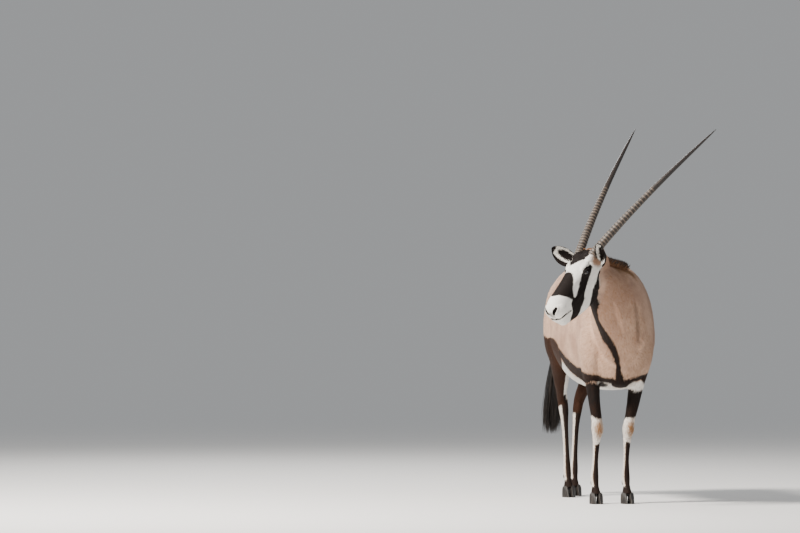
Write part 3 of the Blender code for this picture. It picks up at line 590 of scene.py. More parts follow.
def colourDistances(co, normal):
    # White, brown and black at each point, and how light the hair is there.
    far, side, up, angle = headCoords(co)
    onHead = headShare(co)
    x, y, z = co[:, 0], co[:, 1], co[:, 2]
    uneven = 0.006 * np.sin(x * 61 + y * 43) + 0.004 * np.sin(z * 97 - y * 71)

    # Body: the band down the throat, across the chest and along each flank
    seen = seenFlat(co)
    facing = -normal @ np.array(frontLook)
    ahead = least((np.where(z > 0.66, -0.42, -0.30) - y) * 0.5, (facing + 0.30) * 0.05)     # only on the front
    band = least(markBand(seen, "throat"), ahead, 0.048 - lineDistance(co, np.array(bodyMarks["throat"])[:, :3]))
    chest = least(markBand(seen, "chest"), ahead)
    brisket = least(0.046 - np.abs(x - 0.009), 0.622 - z, -0.40 - y) + 0.6 * uneven
    upper, lower, belly = (np.interp(y, *zip(*bodyMarks[edge])) for edge in ("flankUpper", "flankLower", "belly"))
    flank = least(upper - z, z - lower, y + 0.40, 0.225 - y, np.abs(x) - 0.055) + 0.15 * uneven
    rump = least(0.070 - np.hypot(x + 0.022, (y - 0.780) * 0.6), z - 0.95) + uneven
    spine = least(0.009 - np.abs(x - np.interp(y, (-0.2, 0.3, 0.8), (0.024, 0.008, -0.015))), z - 1.10, y + 0.10)

    # Legs: forearms, shins, and the outer side of each thigh
    onFore, rightSide = whichLeg(x, y)
    foreEnd = np.where(rightSide, 0.440 + 0.55 * (-0.107 - x), 0.425 + 0.35 * (x - 0.075)) + uneven
    foreTop = np.where(rightSide, 0.604, 0.568) + uneven
    forearm = least(np.where(onFore, least(foreTop - z, z - foreEnd), -0.05),
                    np.where(z > 0.54, 0.07 - np.abs(np.abs(x) - 0.115), 0.05))
    shinTop = np.where(onFore, 0.300, 0.500) + uneven * 2
    shin = least(shinTop - z, (-normal[:, 1] * 0.94 + normal[:, 0] * 0.34 - 0.42) * 0.022)
    shin = most(shin, 0.086 - z)
    thighTop = np.interp(y, (0.20, 0.24, 0.36, 0.52, 0.66, 0.80), (0.700, 0.776, 0.806, 0.808, 0.830, 0.860))
    hock = np.where(rightSide, 0.458, 0.418) + uneven
    facing = np.where(rightSide, -normal[:, 0], normal[:, 0])
    allRound = np.where(~rightSide & (z < 0.64) & (y > 0.40), 1.30, 0.45)
    allRound -= 0.85 * ramp(normal[:, 1], 0.2, 0.6)      # less of it on the buttocks
    front = y - np.interp(z, (0.47, 0.57, 0.617, 0.689, 0.76), (0.580, 0.515, 0.430, 0.228, 0.18))
    outerHind = least(thighTop - z, z - hock, y - 0.20, (facing + allRound) * 0.05,
                      np.where(rightSide, front, front - 0.03)) + 0.3 * uneven
    black = most(band, chest, brisket, flank, rump, spine, forearm, shin, outerHind)

    patch = least(0.611 - z, z - 0.530, np.where(rightSide, x + 0.092, 0.03))
    white = most(least(belly - z, y + 0.42, 0.80 - y), 0.470 - z, np.where(onFore, patch, -0.05),
                 least(0.735 - z, y - 0.15, (0.10 - facing) * 0.04))
    middle = np.where(rightSide, -0.099, 0.062) + stand.x
    knee = 0.029 - np.hypot((x - middle) * 1.10, (z - 0.374) * 0.55)
    knee = least(knee * 0.4, (-normal[:, 1] - 0.25) * 0.04)
    below = np.where((z > 0.09) & (z < 0.30), 0.004 - np.abs(shin), -0.05)
    nape = 0.092 * (0.80 + 0.20 * np.sin(y * 47)) - lineDistance(co, np.array(crestLine)) + uneven
    poll, withers = ramp(far, -0.16, -0.06), 1 - ramp(y, -0.42, -0.20)
    rust = nape * 0.45 * (1 - poll) * withers - 0.004 * poll - 0.009 * (1 - withers)
    creamy = np.where(z < 0.50, -0.0028, -0.05)       # the white of the legs
    brown = most(np.where(onFore, knee, -0.05), creamy, least(outerHind, 0.02) * 2 - 0.004,
                 least(flank, 0.02) * 0.25 - 0.004, below, np.where(y < -0.20, rust, -0.05))

    # Lightness of the hair: painted highlights and painted shade in a crease on the front, darker hair along the nape,
    # and painted shade on the animal's left side
    shade = np.full(len(co), 0.5)
    front = ramp(ahead, -0.002, 0.004)
    # painted highlights: a pale streak and a pale patch on the front
    shade += 0.60 * front * ramp(markBand(seen, "pale"), -0.006, 0.005)
    shade += 0.70 * front * ramp(markBand(seen, "shoulderHighlight"), -0.005, 0.005)
    # painted shade in the crease between the neck and the left shoulder
    shade -= 0.55 * front * ramp(markBand(seen, "creaseShade"), -0.010, 0.006)
    shade -= 0.25 * ramp(nape, 0.005, 0.050)
    # painted shade on the animal's left side of the neck and body, away from the key light
    shade -= 0.26 * ramp(x, 0.03, 0.16) * ramp(z, 0.62, 0.75)

    face = np.nonzero(onHead > 0.02)[0]
    flat = np.stack((far[face], np.radians(angle[face]) * roundHead), 1)
    turned = flat * np.array((1, -1))

    def onFace(name, mirrored=True):
        shape = [(f / 1000, math.radians(a) * roundHead) for f, a in faceMarks[name]]
        found = insideOf(flat, shape)
        return np.maximum(found, insideOf(turned, shape)) if mirrored else found

    faceBlack = most(onFace("forehead", False), onFace("nose", False), onFace("stripe"), onFace("throat"))
    temple, behind = onFace("temple"), onFace("behind")
    faceWhite = least(0.03, far[face] + 0.020, -behind, -0.35 * (temple - 0.004))
    faceBrown = least(most(temple * 0.5 - 0.007, -0.008 - far[face]), -0.0025)
    faceBrown = np.where(faceBlack > -0.004, -0.05, faceBrown)
    for body, own in ((black, most(faceBlack, band[face])), (white, faceWhite), (brown, faceBrown)):
        body[face] = np.where(onHead[face] > 0.5, own, body[face])

    # Bare dark skin: nostrils, the pad between them and the line of the mouth
    nostril, mouth = nostrilDistance(co), mouthDistance(co)
    pad = np.minimum(0.015 - np.hypot(side * 0.85, (up + 0.062) * 0.65), far - 0.340)
    bare = np.maximum(-nostril + 0.0022, -mouth + 0.0038) * 2
    black = np.where(onHead > 0.5, np.maximum(black, bare), black)
    shade -= onHead * (0.45 * ramp(-nostril, -0.010, 0.0) + 0.60 * ramp(pad, -0.004, 0.006))
    shade -= onHead * 0.25 * ramp(far, 0.28, 0.30) * ramp(-up, 0.090, 0.112)     # painted shade under the lip: the chin is greyer
    return white, brown, black, shade


def setMarks(mesh, values):
    for name, value in values.items():
        layer = mesh.attributes.new(name, "FLOAT", "POINT")
        layer.data.foreach_set("value", value.astype(np.float32))


crestLine = [Vector(row[3:6]) + stand for row in neckRows[1:]]
markNames = ("white", "brown", "black", "shade")
setMarks(skin.data, dict(zip(markNames, colourDistances(coordsOf(skin.data), normalsOf(skin.data)))))


# ---- materials
def node(tree, kind, links=(), **settings):
    made = tree.nodes.new(kind)
    for key, value in settings.items():
        setattr(made, key, value)
    for socket, value in links:
        target = made.inputs[socket]
        if isinstance(value, bpy.types.NodeSocket):
            tree.links.new(value, target)
        else:
            target.default_value = value
    return made


def math2(tree, operation, a, b):
    return node(tree, "ShaderNodeMath", [(0, a), (1, b)], operation=operation).outputs[0]


def swing(tree, value, by):
    # From half of it below zero to half of it above.
    return math2(tree, "MULTIPLY", math2(tree, "SUBTRACT", value, 0.5), by)


def mixColour(tree, factor, a, b, blend="MIX"):
    made = tree.nodes.new("ShaderNodeMix")
    made.data_type = "RGBA"
    made.blend_type = blend
    for index, value in ((0, factor), (6, a), (7, b)):
        if isinstance(value, bpy.types.NodeSocket):
            tree.links.new(value, made.inputs[index])
        else:
            made.inputs[index].default_value = value if index == 0 else (*value, 1.0)
    return made.outputs[2]


def softStep(tree, value, low, high):
    made = node(tree, "ShaderNodeMapRange", [(0, value), (1, low), (2, high)], interpolation_type="SMOOTHSTEP")
    return made.outputs[0]


def noise(tree, vector, scale, detail=3.0, rough=0.5):
    made = node(tree, "ShaderNodeTexNoise", [("Vector", vector), ("Scale", scale), ("Detail", detail),
                                             ("Roughness", rough)])
    return made.outputs[0]


coatColours = {
    "tan": (0.520, 0.345, 0.250), "tanDark": (0.360, 0.222, 0.160), "white": (0.790, 0.760, 0.705),
    "brown": (0.270, 0.135, 0.056), "black": (0.010, 0.007, 0.006), "rust": (0.030, 0.012, 0.006),
}


def coatGroup():
    # The animal's markings from its distances, with frayed edges and uneven hair.
    group = bpy.data.node_groups.new("coatMarkings", "ShaderNodeTree")
    sockets = [(name.capitalize(), "INPUT", "Float") for name in markNames]
    for label, way, kind in sockets + [("Vector", "INPUT", "Vector"), ("Color", "OUTPUT", "Color"),
                                       ("Fibre", "OUTPUT", "Float")]:
        group.interface.new_socket(label, in_out=way, socket_type="NodeSocket" + kind)
    given, out = group.nodes.new("NodeGroupInput"), group.nodes.new("NodeGroupOutput")
    place = given.outputs["Vector"]
    fray = swing(group, noise(group, place, 150, 3, 0.6), 0.008)
    broad = noise(group, place, 4.0, 4, 0.6)
    patchy = noise(group, place, 26.0, 3, 0.6)
    fine = noise(group, place, 420, 2, 0.7)
    c = coatColours
    tan = mixColour(group, softStep(group, broad, 0.38, 0.66), c["tan"], c["tanDark"])
    white, brown, black = (softStep(group, math2(group, "ADD", given.outputs[label], fray), low, high)
                           for label, low, high in (("White", -0.004, 0.004), ("Brown", -0.008, 0.010),
                                                    ("Black", -0.0022, 0.0022)))
    colour = mixColour(group, white, tan, c["white"])
    colour = mixColour(group, brown, colour, c["brown"])
    colour = mixColour(group, black, colour, mixColour(group, brown, c["black"], c["rust"]))
    level = math2(group, "ADD", math2(group, "MULTIPLY", given.outputs["Shade"], 0.62),
                  math2(group, "MULTIPLY", math2(group, "ADD", fine, patchy), 0.34))
    level = math2(group, "ADD", level, 0.34)
    colour = mixColour(group, 1.0, colour, node(group, "ShaderNodeCombineColor",
                                                [(0, level), (1, level), (2, level)]).outputs[0], "MULTIPLY")
    group.links.new(colour, out.inputs["Color"])
    group.links.new(fine, out.inputs["Fibre"])
    return group


markings = coatGroup()


def newMaterial(name, roughness, specular=0.5):
    # The material with its tree, shader and the object's coordinates.
    made = bpy.data.materials.new(name)
    made.use_nodes = True
    tree = made.node_tree
    shader = tree.nodes["Principled BSDF"]
    shader.inputs["Roughness"].default_value = roughness
    shader.inputs["Specular IOR Level"].default_value = specular
    return made, tree, shader, node(tree, "ShaderNodeTexCoord").outputs["Object"]


def fromMesh(tree, name):
    return node(tree, "ShaderNodeAttribute", attribute_name=name).outputs["Fac"]


def dressed(tree, shader, colour, strength, distance, height):
    tree.links.new(colour, shader.inputs["Base Color"])
    raised = node(tree, "ShaderNodeBump", [("Strength", strength), ("Distance", distance), ("Height", height)])
    tree.links.new(raised.outputs["Normal"], shader.inputs["Normal"])


def coatMaterial(name, roughness=0.70, sheen=0.02, bump=0.25):
    made, tree, shader, place = newMaterial(name, roughness, 0.10)
    marks = [(label.capitalize(), fromMesh(tree, label)) for label in markNames]
    used = node(tree, "ShaderNodeGroup", [], node_tree=markings)
    for label, value in marks + [("Vector", place)]:
        tree.links.new(value, used.inputs[label])
    dressed(tree, shader, used.outputs["Color"], bump, 0.002, used.outputs["Fibre"])
    shader.inputs["Sheen Weight"].default_value = sheen
    shader.inputs["Sheen Roughness"].default_value = 0.45
    return made


def plainMaterial(name, colour, other, scale, roughness, bump, stretch=(1, 1, 1)):
    # Two tones of one colour in streaks or patches, with a bump of the same pattern.
    made, tree, shader, place = newMaterial(name, roughness)
    place = node(tree, "ShaderNodeMapping", [("Vector", place), ("Scale", stretch)]).outputs[0]
    grain = noise(tree, place, scale, 5, 0.6)
    dressed(tree, shader, mixColour(tree, softStep(tree, grain, 0.35, 0.7), colour, other), bump, 0.002, grain)
    return made


def hairMaterial(name, root, tip, roughness):
    # Locks of one colour each between two tones, darker to their tips.
    made, tree, shader, place = newMaterial(name, roughness, 0.3)
    grain = noise(tree, place, 220, 3, 0.6)
    share = math2(tree, "ADD", math2(tree, "MULTIPLY", fromMesh(tree, "tip"), 1.15),
                  math2(tree, "MULTIPLY", fromMesh(tree, "shade"), 0.4))
    share = math2(tree, "ADD", share, swing(tree, grain, 0.7))
    dressed(tree, shader, mixColour(tree, softStep(tree, share, 0.78, 1.25), root, tip), 0.25, 0.001, grain)
    return made


def hornMaterial():
    # Painted shade in the grooves and a painted highlight on the ridges near the root, smooth and dark to the tip.
    made, tree, shader, place = newMaterial("hornKeratin", 0.5)
    ridge, far = fromMesh(tree, "ridge"), fromMesh(tree, "along")
    grain = noise(tree, place, 240, 4, 0.65)
    blotch = noise(tree, place, 34, 3, 0.6)
    ridgeLight = math2(tree, "ADD", ridge, swing(tree, blotch, 0.9))
    colour = mixColour(tree, softStep(tree, ridgeLight, 0.25, 0.95), (0.022, 0.016, 0.012), (0.120, 0.089, 0.066))
    speck = math2(tree, "MULTIPLY", softStep(tree, grain, 0.45, 0.75), 0.45)
    colour = mixColour(tree, speck, colour, (0.075, 0.055, 0.042))
    colour = mixColour(tree, softStep(tree, far, 0.42, 0.72), colour, (0.020, 0.015, 0.013))
    rough = node(tree, "ShaderNodeMapRange", [(0, far), (1, 0.40), (2, 0.80), (3, 0.55), (4, 0.30)]).outputs[0]
    tree.links.new(rough, shader.inputs["Roughness"])
    dressed(tree, shader, colour, 0.35, 0.0012, grain)
    return made


coatLook = coatMaterial("gemsbokCoat")
skinLook = coatMaterial("gemsbokSkin", 0.75, 0.0, 0.5)
hornLook = hornMaterial()
hoofLook = plainMaterial("hoofKeratin", (0.010, 0.008, 0.007), (0.032, 0.026, 0.021), 90, 0.55, 0.3, (1, 1, 0.2))
lidLook = plainMaterial("bareSkin", (0.005, 0.004, 0.004), (0.012, 0.010, 0.009), 300, 0.50, 0.3)
maneLook = hairMaterial("maneHair", (0.200, 0.088, 0.036), (0.012, 0.007, 0.005), 0.60)
dockLook = hairMaterial("dockHair", (0.006, 0.005, 0.005), (0.016, 0.011, 0.008), 0.90)
tailLook = hairMaterial("tailHair", (0.006, 0.005, 0.005), (0.016, 0.011, 0.008), 0.50)
lashLook = plainMaterial("lashHair", (0.006, 0.005, 0.004), (0.014, 0.010, 0.008), 200, 0.5, 0.1)
earLook = coatMaterial("earCoat", 0.70, 0.0, 0.2)
print("materials made")


def show(obj, look, replaced=()):
    # Gives the piece its body, slot and material.
    obj.data.materials.clear()
    obj.data.materials.append(look)
    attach(obj, "root")
    if replaced:
        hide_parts(*replaced)
    return obj


flesh = ("torso", "neck", "head", "foreleg_left", "foreleg_right", "hindleg_left", "hindleg_right")
show(skin, skinLook, flesh)


# ---- horns
hornShape = {"length": 0.958, "radius": 0.0212, "spread": math.radians(15.6), "lift": 0.013, "bow": 0.021,
             "rings": 26, "root": (0.045, 0.033, -0.018)}


def makeHorn(name, sign):
    rng = np.random.default_rng(30 + sign)
    gap = 0.50 / hornShape["rings"]
    places = []
    # Each place is a share of the length, a swelling, and how light it is painted: painted highlight on the ridges,
    # painted shade in the grooves
    for k in range(hornShape["rings"]):
        t = k / hornShape["rings"]
        at = 0.050 + 0.50 * t ** 1.10 + rng.uniform(-0.002, 0.002)
        rise = 0.090 * (1 - 0.55 * t) * rng.uniform(0.75, 1.15)
        places += [(at - gap * 0.34, -0.012, 0.0), (at - gap * 0.12, rise * 0.75, 0.8), (at + gap * 0.06, rise, 1.0),
                   (at + gap * 0.28, rise * 0.25, 0.35)]
    places = [(0.030, -0.05, 0), (0.035, 0.00, 0.2), (0.039, 0.02, 0.4)] + sorted(places)
    last = places[-1][0]
    places += [(last + (0.995 - last) * k / 16, 0.0, 0.3) for k in range(1, 17)] + [(1.0, -0.2, 0.3)]
    far, side, high = hornShape["root"]
    base = atHead(far, sign * side, high)
    spread = hornShape["spread"]
    way = left * (sign * math.sin(spread)) - forward * math.cos(spread) + dorsal * hornShape["lift"]
    out = (left - way * left.dot(way)).normalized()
    up = out.cross(way)
    rings = []
    for t, rise, ridgeLight in places:
        centre = base + way * (hornShape["length"] * t) + dorsal * (hornShape["bow"] * math.sin(math.pi * t ** 0.8))
        r = hornShape["radius"] * (1 - t) ** 0.62 + 0.0010
        tilt = rng.uniform(-0.0012, 0.0012)
        ring = []
        for k in range(28):
            turn = 2 * math.pi * k / 28
            uneven = 1 + rise * (1 + 0.22 * math.sin(turn * 3 + t * 40) + 0.12 * math.sin(turn * 7 + t * 90))
            ring.append(centre + (out * math.cos(turn) + up * math.sin(turn)) * (r * uneven)
                        + way * (tilt * math.cos(turn + t * 9)))
        rings.append(ring)
    bm = bmesh.new()
    wrapGrid(bm, rings)
    made = meshObject(name, bm)
    t = (coordsOf(made.data) - np.array(base)) @ np.array(way) / (hornShape["length"] * way.length_squared)
    setMarks(made.data, {"along": t, "ridge": np.interp(t, [p[0] for p in places], [p[2] for p in places])})
    return made


for sideName, sign in bothSides:
    show(makeHorn("horn" + sideName, sign), hornLook, ("horn_" + sideName.lower(),))


# ---- ears
earShape = {
    "length": 0.177, "bow": 0.010,
    "rows": ((0.00, 0.014, 0.30, 0.0080), (0.10, 0.018, 0.45, 0.0062), (0.22, 0.027, 0.75, 0.0038),
             (0.38, 0.037, 0.80, 0.0030), (0.55, 0.043, 0.72, 0.0028), (0.72, 0.041, 0.60, 0.0026),
             (0.87, 0.030, 0.48, 0.0024), (0.96, 0.016, 0.35, 0.0020), (1.00, 0.005, 0.20, 0.0016)),
    "Left": ((-0.004, 0.060, -0.080), Vector((-0.15, -0.76, 0.60)), Vector((-0.80, -0.58, -0.10))),
    "Right": ((-0.004, -0.064, -0.080), Vector((-0.85, 0.23, 0.50)), Vector((-0.25, -0.95, -0.05))),
}


def earFrame(sideName):
    root, way, opening = earShape[sideName]
    way = way.normalized()
    facing = (opening - way * opening.dot(way)).normalized()
    return atHead(*root), way, facing, way.cross(facing)


def earHalf(far, column=1):
    rows = eased(earShape["rows"], 4)
    return np.interp(far, [r[0] for r in rows], [r[column] for r in rows])


def earPoint(sideName, far, across, inner):
    # A point of the ear's back or inside, far along it and across from -1 to 1.
    root, way, facing, side = earFrame(sideName)
    half, cup, thick = (float(earHalf(far, i)) for i in (1, 2, 3))
    depth = half * cup * (1 - across * across)
    rim = thick * (0.35 + 0.65 * (1 - across ** 4)) if inner else 0.0
    wide = half * (0.97 if inner else 1.0)
    drop = Vector((0, 0, earShape["bow"] * 4 * far * (1 - far)))
    return root + way * (earShape["length"] * far) - drop + side * (wide * across) - facing * (depth - rim)


def earMarks(far, across, inner):
    # Black rim and tip, the rim wider on the back, white hair inside round a dark hollow.
    half = earHalf(far)
    edge = np.abs(across)
    rim = np.maximum((edge - np.where(inner, 0.74, 0.60)) * half, (far - np.where(inner, 0.90, 0.84)) * 0.17)
    hollow = (1 - np.hypot((far - 0.45) / 0.38, edge / 0.56)) * 0.020
    black = np.where(inner, np.maximum(rim, hollow), np.maximum(rim, 0.0))
    black = np.where(far < 0.10, np.minimum(black, (far - 0.10) * 0.17), black)
    white = np.where(inner, 0.02, np.minimum((0.75 - far) * 0.1, 0.002))
    brown = np.full(len(far), -0.05)
    return white, brown, np.where(black == 0, -0.004, black), np.where(inner, 0.55, 0.30)


def onEar(sideName, co, normal):
    # How far along and across the ear each point is, and whether it is inside.
    root, way, facing, side = arrays(earFrame(sideName))
    far = np.clip((co - root) @ way / earShape["length"], 0, 1)
    return far, np.clip((co - root) @ side / earHalf(far), -1, 1), normal @ facing > 0


def makeEar(sideName):
    bm = bmesh.new()
    rows = [0.5 - 0.5 * math.cos(math.pi * k / 36) for k in range(37)]
    count = 24
    rings = []
    for far in rows:
        back = [earPoint(sideName, far, -1 + 2 * k / count, False) for k in range(count + 1)]
        front = [earPoint(sideName, far, 1 - 2 * k / count, True) for k in range(count + 1)]
        rings.append(back + front)
    wrapGrid(bm, rings)
    made = meshObject("ear" + sideName, bm)
    marks = earMarks(*onEar(sideName, coordsOf(made.data), normalsOf(made.data)))
    setMarks(made.data, dict(zip(markNames, marks)))
    return made


ears = {}
for sideName in ("Left", "Right"):
    ears[sideName] = show(makeEar(sideName), earLook, ("ear_" + sideName.lower(),))


# ---- eyes and lids
def makeEye(name, sign):
    centre, out, front, top = eyeAxes(sign)
    bm = bmesh.new()
    turn = Matrix((front, top, out)).transposed()
    made = bmesh.ops.create_uvsphere(bm, u_segments=48, v_segments=32, radius=eyeShape["radius"])["verts"]
    for vert in made:
        vert.co.z += 0.0012 * max(0.0, vert.co.z / eyeShape["radius"] - 0.75) * 4 * 0.5    # the clear dome in front
    bmesh.ops.transform(bm, matrix=Matrix.Translation(centre) @ turn.to_4x4(), verts=made)
    obj = meshObject(name, bm)
    a, b, c = atEye(sign, coordsOf(obj.data))[2:]
    setMarks(obj.data, {"iris": np.where(c > 0, np.hypot(a, b), 0.03),
                        "pupil": np.where(c > 0, 1 - np.hypot(a / 0.0068, b / 0.0036), -1)})
    return obj


def eyeMaterial():
    made, tree, shader, place = newMaterial("eyeball", 0.05)
    iris, pupil = fromMesh(tree, "iris"), fromMesh(tree, "pupil")
    streak = noise(tree, place, 900, 2)
    ringed = mixColour(tree, softStep(tree, streak, 0.3, 0.7), (0.018, 0.008, 0.004), (0.008, 0.004, 0.002))
    colour = mixColour(tree, softStep(tree, iris, 0.0118, 0.0132), ringed, (0.030, 0.020, 0.016))
    colour = mixColour(tree, softStep(tree, pupil, 0.0, 0.22), colour, (0.002, 0.002, 0.003))
    tree.links.new(colour, shader.inputs["Base Color"])
    shader.inputs["IOR"].default_value = 1.38
    shader.inputs["Coat Weight"].default_value = 1.0
    shader.inputs["Coat Roughness"].default_value = 0.02
    return made


def makeLids(name, sign):
    # The swollen edges of both lids, a ring following the opening.
    centre, out, front, top = eyeAxes(sign)
    bm = bmesh.new()
    loops = []
    for k in range(44):
        turn = 2 * math.pi * k / 44
        lift = math.sin(turn) * abs(math.sin(turn)) ** 0.2
        spot = front * ((eyeShape["half"] + 0.0006) * math.cos(turn))
        spot += top * (((eyeShape["above"] if lift > 0 else eyeShape["below"]) + 0.0006) * lift)
        rise = math.sqrt(max(1e-8, (eyeShape["radius"] + 0.0008) ** 2 - spot.length_squared))
        middle = centre + spot + out * rise
        wide, deep = spot.normalized(), (middle - centre).normalized()
        thick = 0.0026 if lift > 0 else 0.0020
        loops.append([middle + (wide * (math.cos(a) * 1.5) + deep * math.sin(a)) * thick
                      for a in (2 * math.pi * i / 12 for i in range(12))])
    wrapGrid(bm, loops + loops[:1], capped=False)
    bmesh.ops.remove_doubles(bm, verts=bm.verts, dist=1e-6)
    return meshObject(name, bm)


eyeLook = eyeMaterial()
for sideName, sign in bothSides:
    show(makeEye("eye" + sideName, sign), eyeLook, ("eye_" + sideName.lower(),))
    show(makeLids("lids" + sideName, sign), lidLook)


# ---- hooves
hoofShape = {
    "apart": 0.0172,
    "rows": inMetres((      # height, half width, ahead, behind, shift back
        (0, 15, 55, 30, 0), (1.4, 17, 58, 32.5, 0), (6, 17.4, 56, 34, 0), (14, 17.4, 51, 35, 1),
        (24, 17.1, 44, 34.5, 2), (35, 16.5, 36, 33, 3), (44, 15.4, 29, 30, 5), (51, 13.2, 22, 25, 7),
        (56, 9, 14, 17, 8),
    )),
}
hoofPlaces = {"foreleg_left": (0.040, -0.500), "foreleg_right": (-0.117, -0.500),
              "hindleg_left": (-0.037, 0.572), "hindleg_right": (-0.100, 0.390)}


def makeHoof(name, x, y):
    # Two long claws, each pointed at the toe and flat inside, with the small claws behind and above.
    x, y = x + stand.x, y + stand.y
    bm = bmesh.new()
    for sign in (1, -1):
        rings = []
        for z, half, ahead, behind, shift in eased(hoofShape["rows"], 3):
            ring = []
            for k in range(32):
                turn = 2 * math.pi * k / 32
                c, s = math.cos(turn), math.sin(turn)
                reach = ahead if s < 0 else behind
                point = max(0.0, -s) ** 1.3
                wide = half * (1 - 0.62 * point) if s < 0 else half * (1 - 0.18 * s * s)
                outer = c * sign > 0
                ring.append(Vector((x + sign * (hoofShape["apart"] - 0.0055 * point)
                                    + wide * c * (1.0 if outer else 0.92), y + shift + reach * s, max(0.0, z))))
            rings.append(ring)
        wrapGrid(bm, rings)
        turn = Matrix.Rotation(math.radians(-25), 3, "X")
        addBall(bm, Vector((x + sign * 0.0115, y + 0.052, 0.104)), (0.0085, 0.0110, 0.0150), turn, 16)
    return meshObject(name, bm)


for legName, (x, y) in hoofPlaces.items():
    nodeName = legName.replace("leg", "hoof")
    pieceName = nodeName.split("_")[0] + nodeName.split("_")[1].capitalize()
    show(makeHoof(pieceName, x, y), hoofLook, (nodeName,))
print("horns, ears, eyes and hooves made")


# ---- hair: every lock and tuft is a small closed spike, made many at a time
def spikes(name, roots, normals, ways, lengths, widths, lift, curl, marks, unwrap=None, stations=(0.0, 0.45, 1.0),
           thick=0.30, smoothing=0.6, shape=None):
    # Three sided spikes lying along their ways and bending by curl towards the normal.
    count, layers = len(roots), len(stations)
    side = unit(np.cross(ways, normals))
    points = []
    for i, t in enumerate(stations):
        centre = roots + ways * (lengths * t)[:, None] + normals * (lengths * (lift * t + curl * t * t))[:, None]
        if i == layers - 1:
            points.append(centre[:, None])
            break
        wide = widths * (shape[i] if shape else (0.62, 1.0)[min(i, 1)]) * 0.5
        high = widths * thick * (0.5 if i == 0 else 1.0)
        points.append(np.stack((centre - side * wide[:, None], centre + side * wide[:, None],
                                centre + normals * high[:, None]), 1))
    points = np.concatenate(points, 1)
    each = points.shape[1]
    faces = [(0, 2, 1)]
    for i in range(layers - 2):
        a, b = i * 3, i * 3 + 3
        for k in range(3):
            n = (k + 1) % 3
            faces += [(a + k, a + n, b + n), (a + k, b + n, b + k)]
    a, tip = (layers - 2) * 3, each - 1
    faces += [(a + k, a + (k + 1) % 3, tip) for k in range(3)]
    faces = np.array(faces)[:, ::-1]
    index = (faces[None] + (np.arange(count) * each)[:, None, None]).reshape(-1)
    mesh = bpy.data.meshes.new(name)
    mesh.vertices.add(count * each)
    mesh.vertices.foreach_set("co", points.astype(np.float32).ravel())
    total = count * len(faces)
    mesh.loops.add(total * 3)
    mesh.loops.foreach_set("vertex_index", index.astype(np.int32))
    mesh.polygons.add(total)
    mesh.polygons.foreach_set("loop_start", np.arange(0, total * 3, 3, dtype=np.int32))
    mesh.polygons.foreach_set("use_smooth", np.ones(total, bool))
    mesh.update(calc_edges=True)
    setMarks(mesh, {key: np.repeat(value, each) for key, value in marks.items()})
    if unwrap is None:
        setMarks(mesh, {"tip": np.tile(np.append(np.repeat(stations[:-1], 3), stations[-1]), count)})
    else:
        # Each spike is a small patch at its root's place on the skin's unwrap
        layer = mesh.uv_layers.new(name="OFBake")
        local = np.zeros((each, 2))
        for k in range(each):
            t = stations[min(k // 3, layers - 1)]
            local[k] = (((k % 3) - 1) * 0.0010 if k != tip else 0.0, (t - 0.5) * 0.0028)
        uv = unwrap[:, None] + local[None]
        layer.data.foreach_set("uv", uv.reshape(-1, 2)[index].astype(np.float32).ravel())
    if smoothing:
        # The hair is lit mostly as the skin under it
        own = normalsOf(mesh)
        base = np.repeat(normals, each, axis=0)
        mixed = unit(own * (1 - smoothing) + base * smoothing)
        mesh.normals_split_custom_set_from_vertices(mixed.astype(np.float32))
    return linked(name, mesh)


maneShape = {"locks": 3000, "tall": 0.046, "width": (0.0030, 0.0060), "seed": 5}


def alongCrest(share):
    # Place and direction at a share of the way from the withers to the poll.
    rows = [Vector(r) for r in eased([list(p) for p in crestLine], 8)] + [atHead(-0.062, 0, -0.012)]
    co = np.array(rows)
    run = np.concatenate(((0,), np.cumsum(np.linalg.norm(np.diff(co, axis=0), axis=1))))
    spot, ahead, behind = (np.stack([np.interp(share * run[-1] + step, run, co[:, i]) for i in range(3)], 1)
                           for step in (0, 0.01, -0.01))
    return spot, unit(ahead - behind)


def makeMane():
    rng = np.random.default_rng(maneShape["seed"])
    count = maneShape["locks"]
    share = rng.uniform(0.16, 1, count)
    place, along = alongCrest(share)
    across = unit(np.cross(along, (0, 0, 1)))
    out = unit(np.cross(across, along))
    sideways = rng.normal(0, 0.0080, count)
    tall = maneShape["tall"] * (0.50 + 0.50 * np.sin(np.pi * (0.06 + 0.72 * share)) ** 0.6)
    tall *= rng.uniform(0.62, 1.05, count) * (1 - 10 * np.abs(sideways)) * (0.10 + 0.90 * ramp(share, 0.12, 0.30))
    roots = place + across * sideways[:, None] - out * (0.012 + np.abs(sideways) * 0.25)[:, None]
    lean = sideways * 26 + rng.normal(0, 0.10, count)
    ways = unit(out + across * lean[:, None] - along * rng.uniform(0.10, 0.55, (count, 1)))
    facing = unit(across * np.where(sideways > 0, 1, -1)[:, None] + along * rng.normal(0, 0.4, (count, 1)))
    facing = unit(facing - ways * np.sum(facing * ways, 1, keepdims=True))
    widths = rng.uniform(*maneShape["width"], count)
    marks = {"shade": rng.uniform(0, 1, count)}
    return spikes("mane", roots, facing, ways, tall + 0.012, widths, np.zeros(count), rng.uniform(-0.10, 0.28, count),
                  marks, None, (0.0, 0.3, 0.6, 0.85, 1.0), 0.35, 0.25, (0.9, 1.0, 0.85, 0.5))


show(makeMane(), maneLook)

tailShape = {
    "dock": inMetres((
        (-40, 640, 1065, 24, 22), (-48, 690, 1040, 21, 19), (-66, 712, 960, 16.5, 15.5), (-88, 722, 860, 14, 13.5),
        (-108, 730, 760, 11, 11), (-118, 734, 680, 8, 8), (-126, 737, 600, 4, 4),
    )),
    "strands": 3400, "top": 0.930, "seed": 11,
}


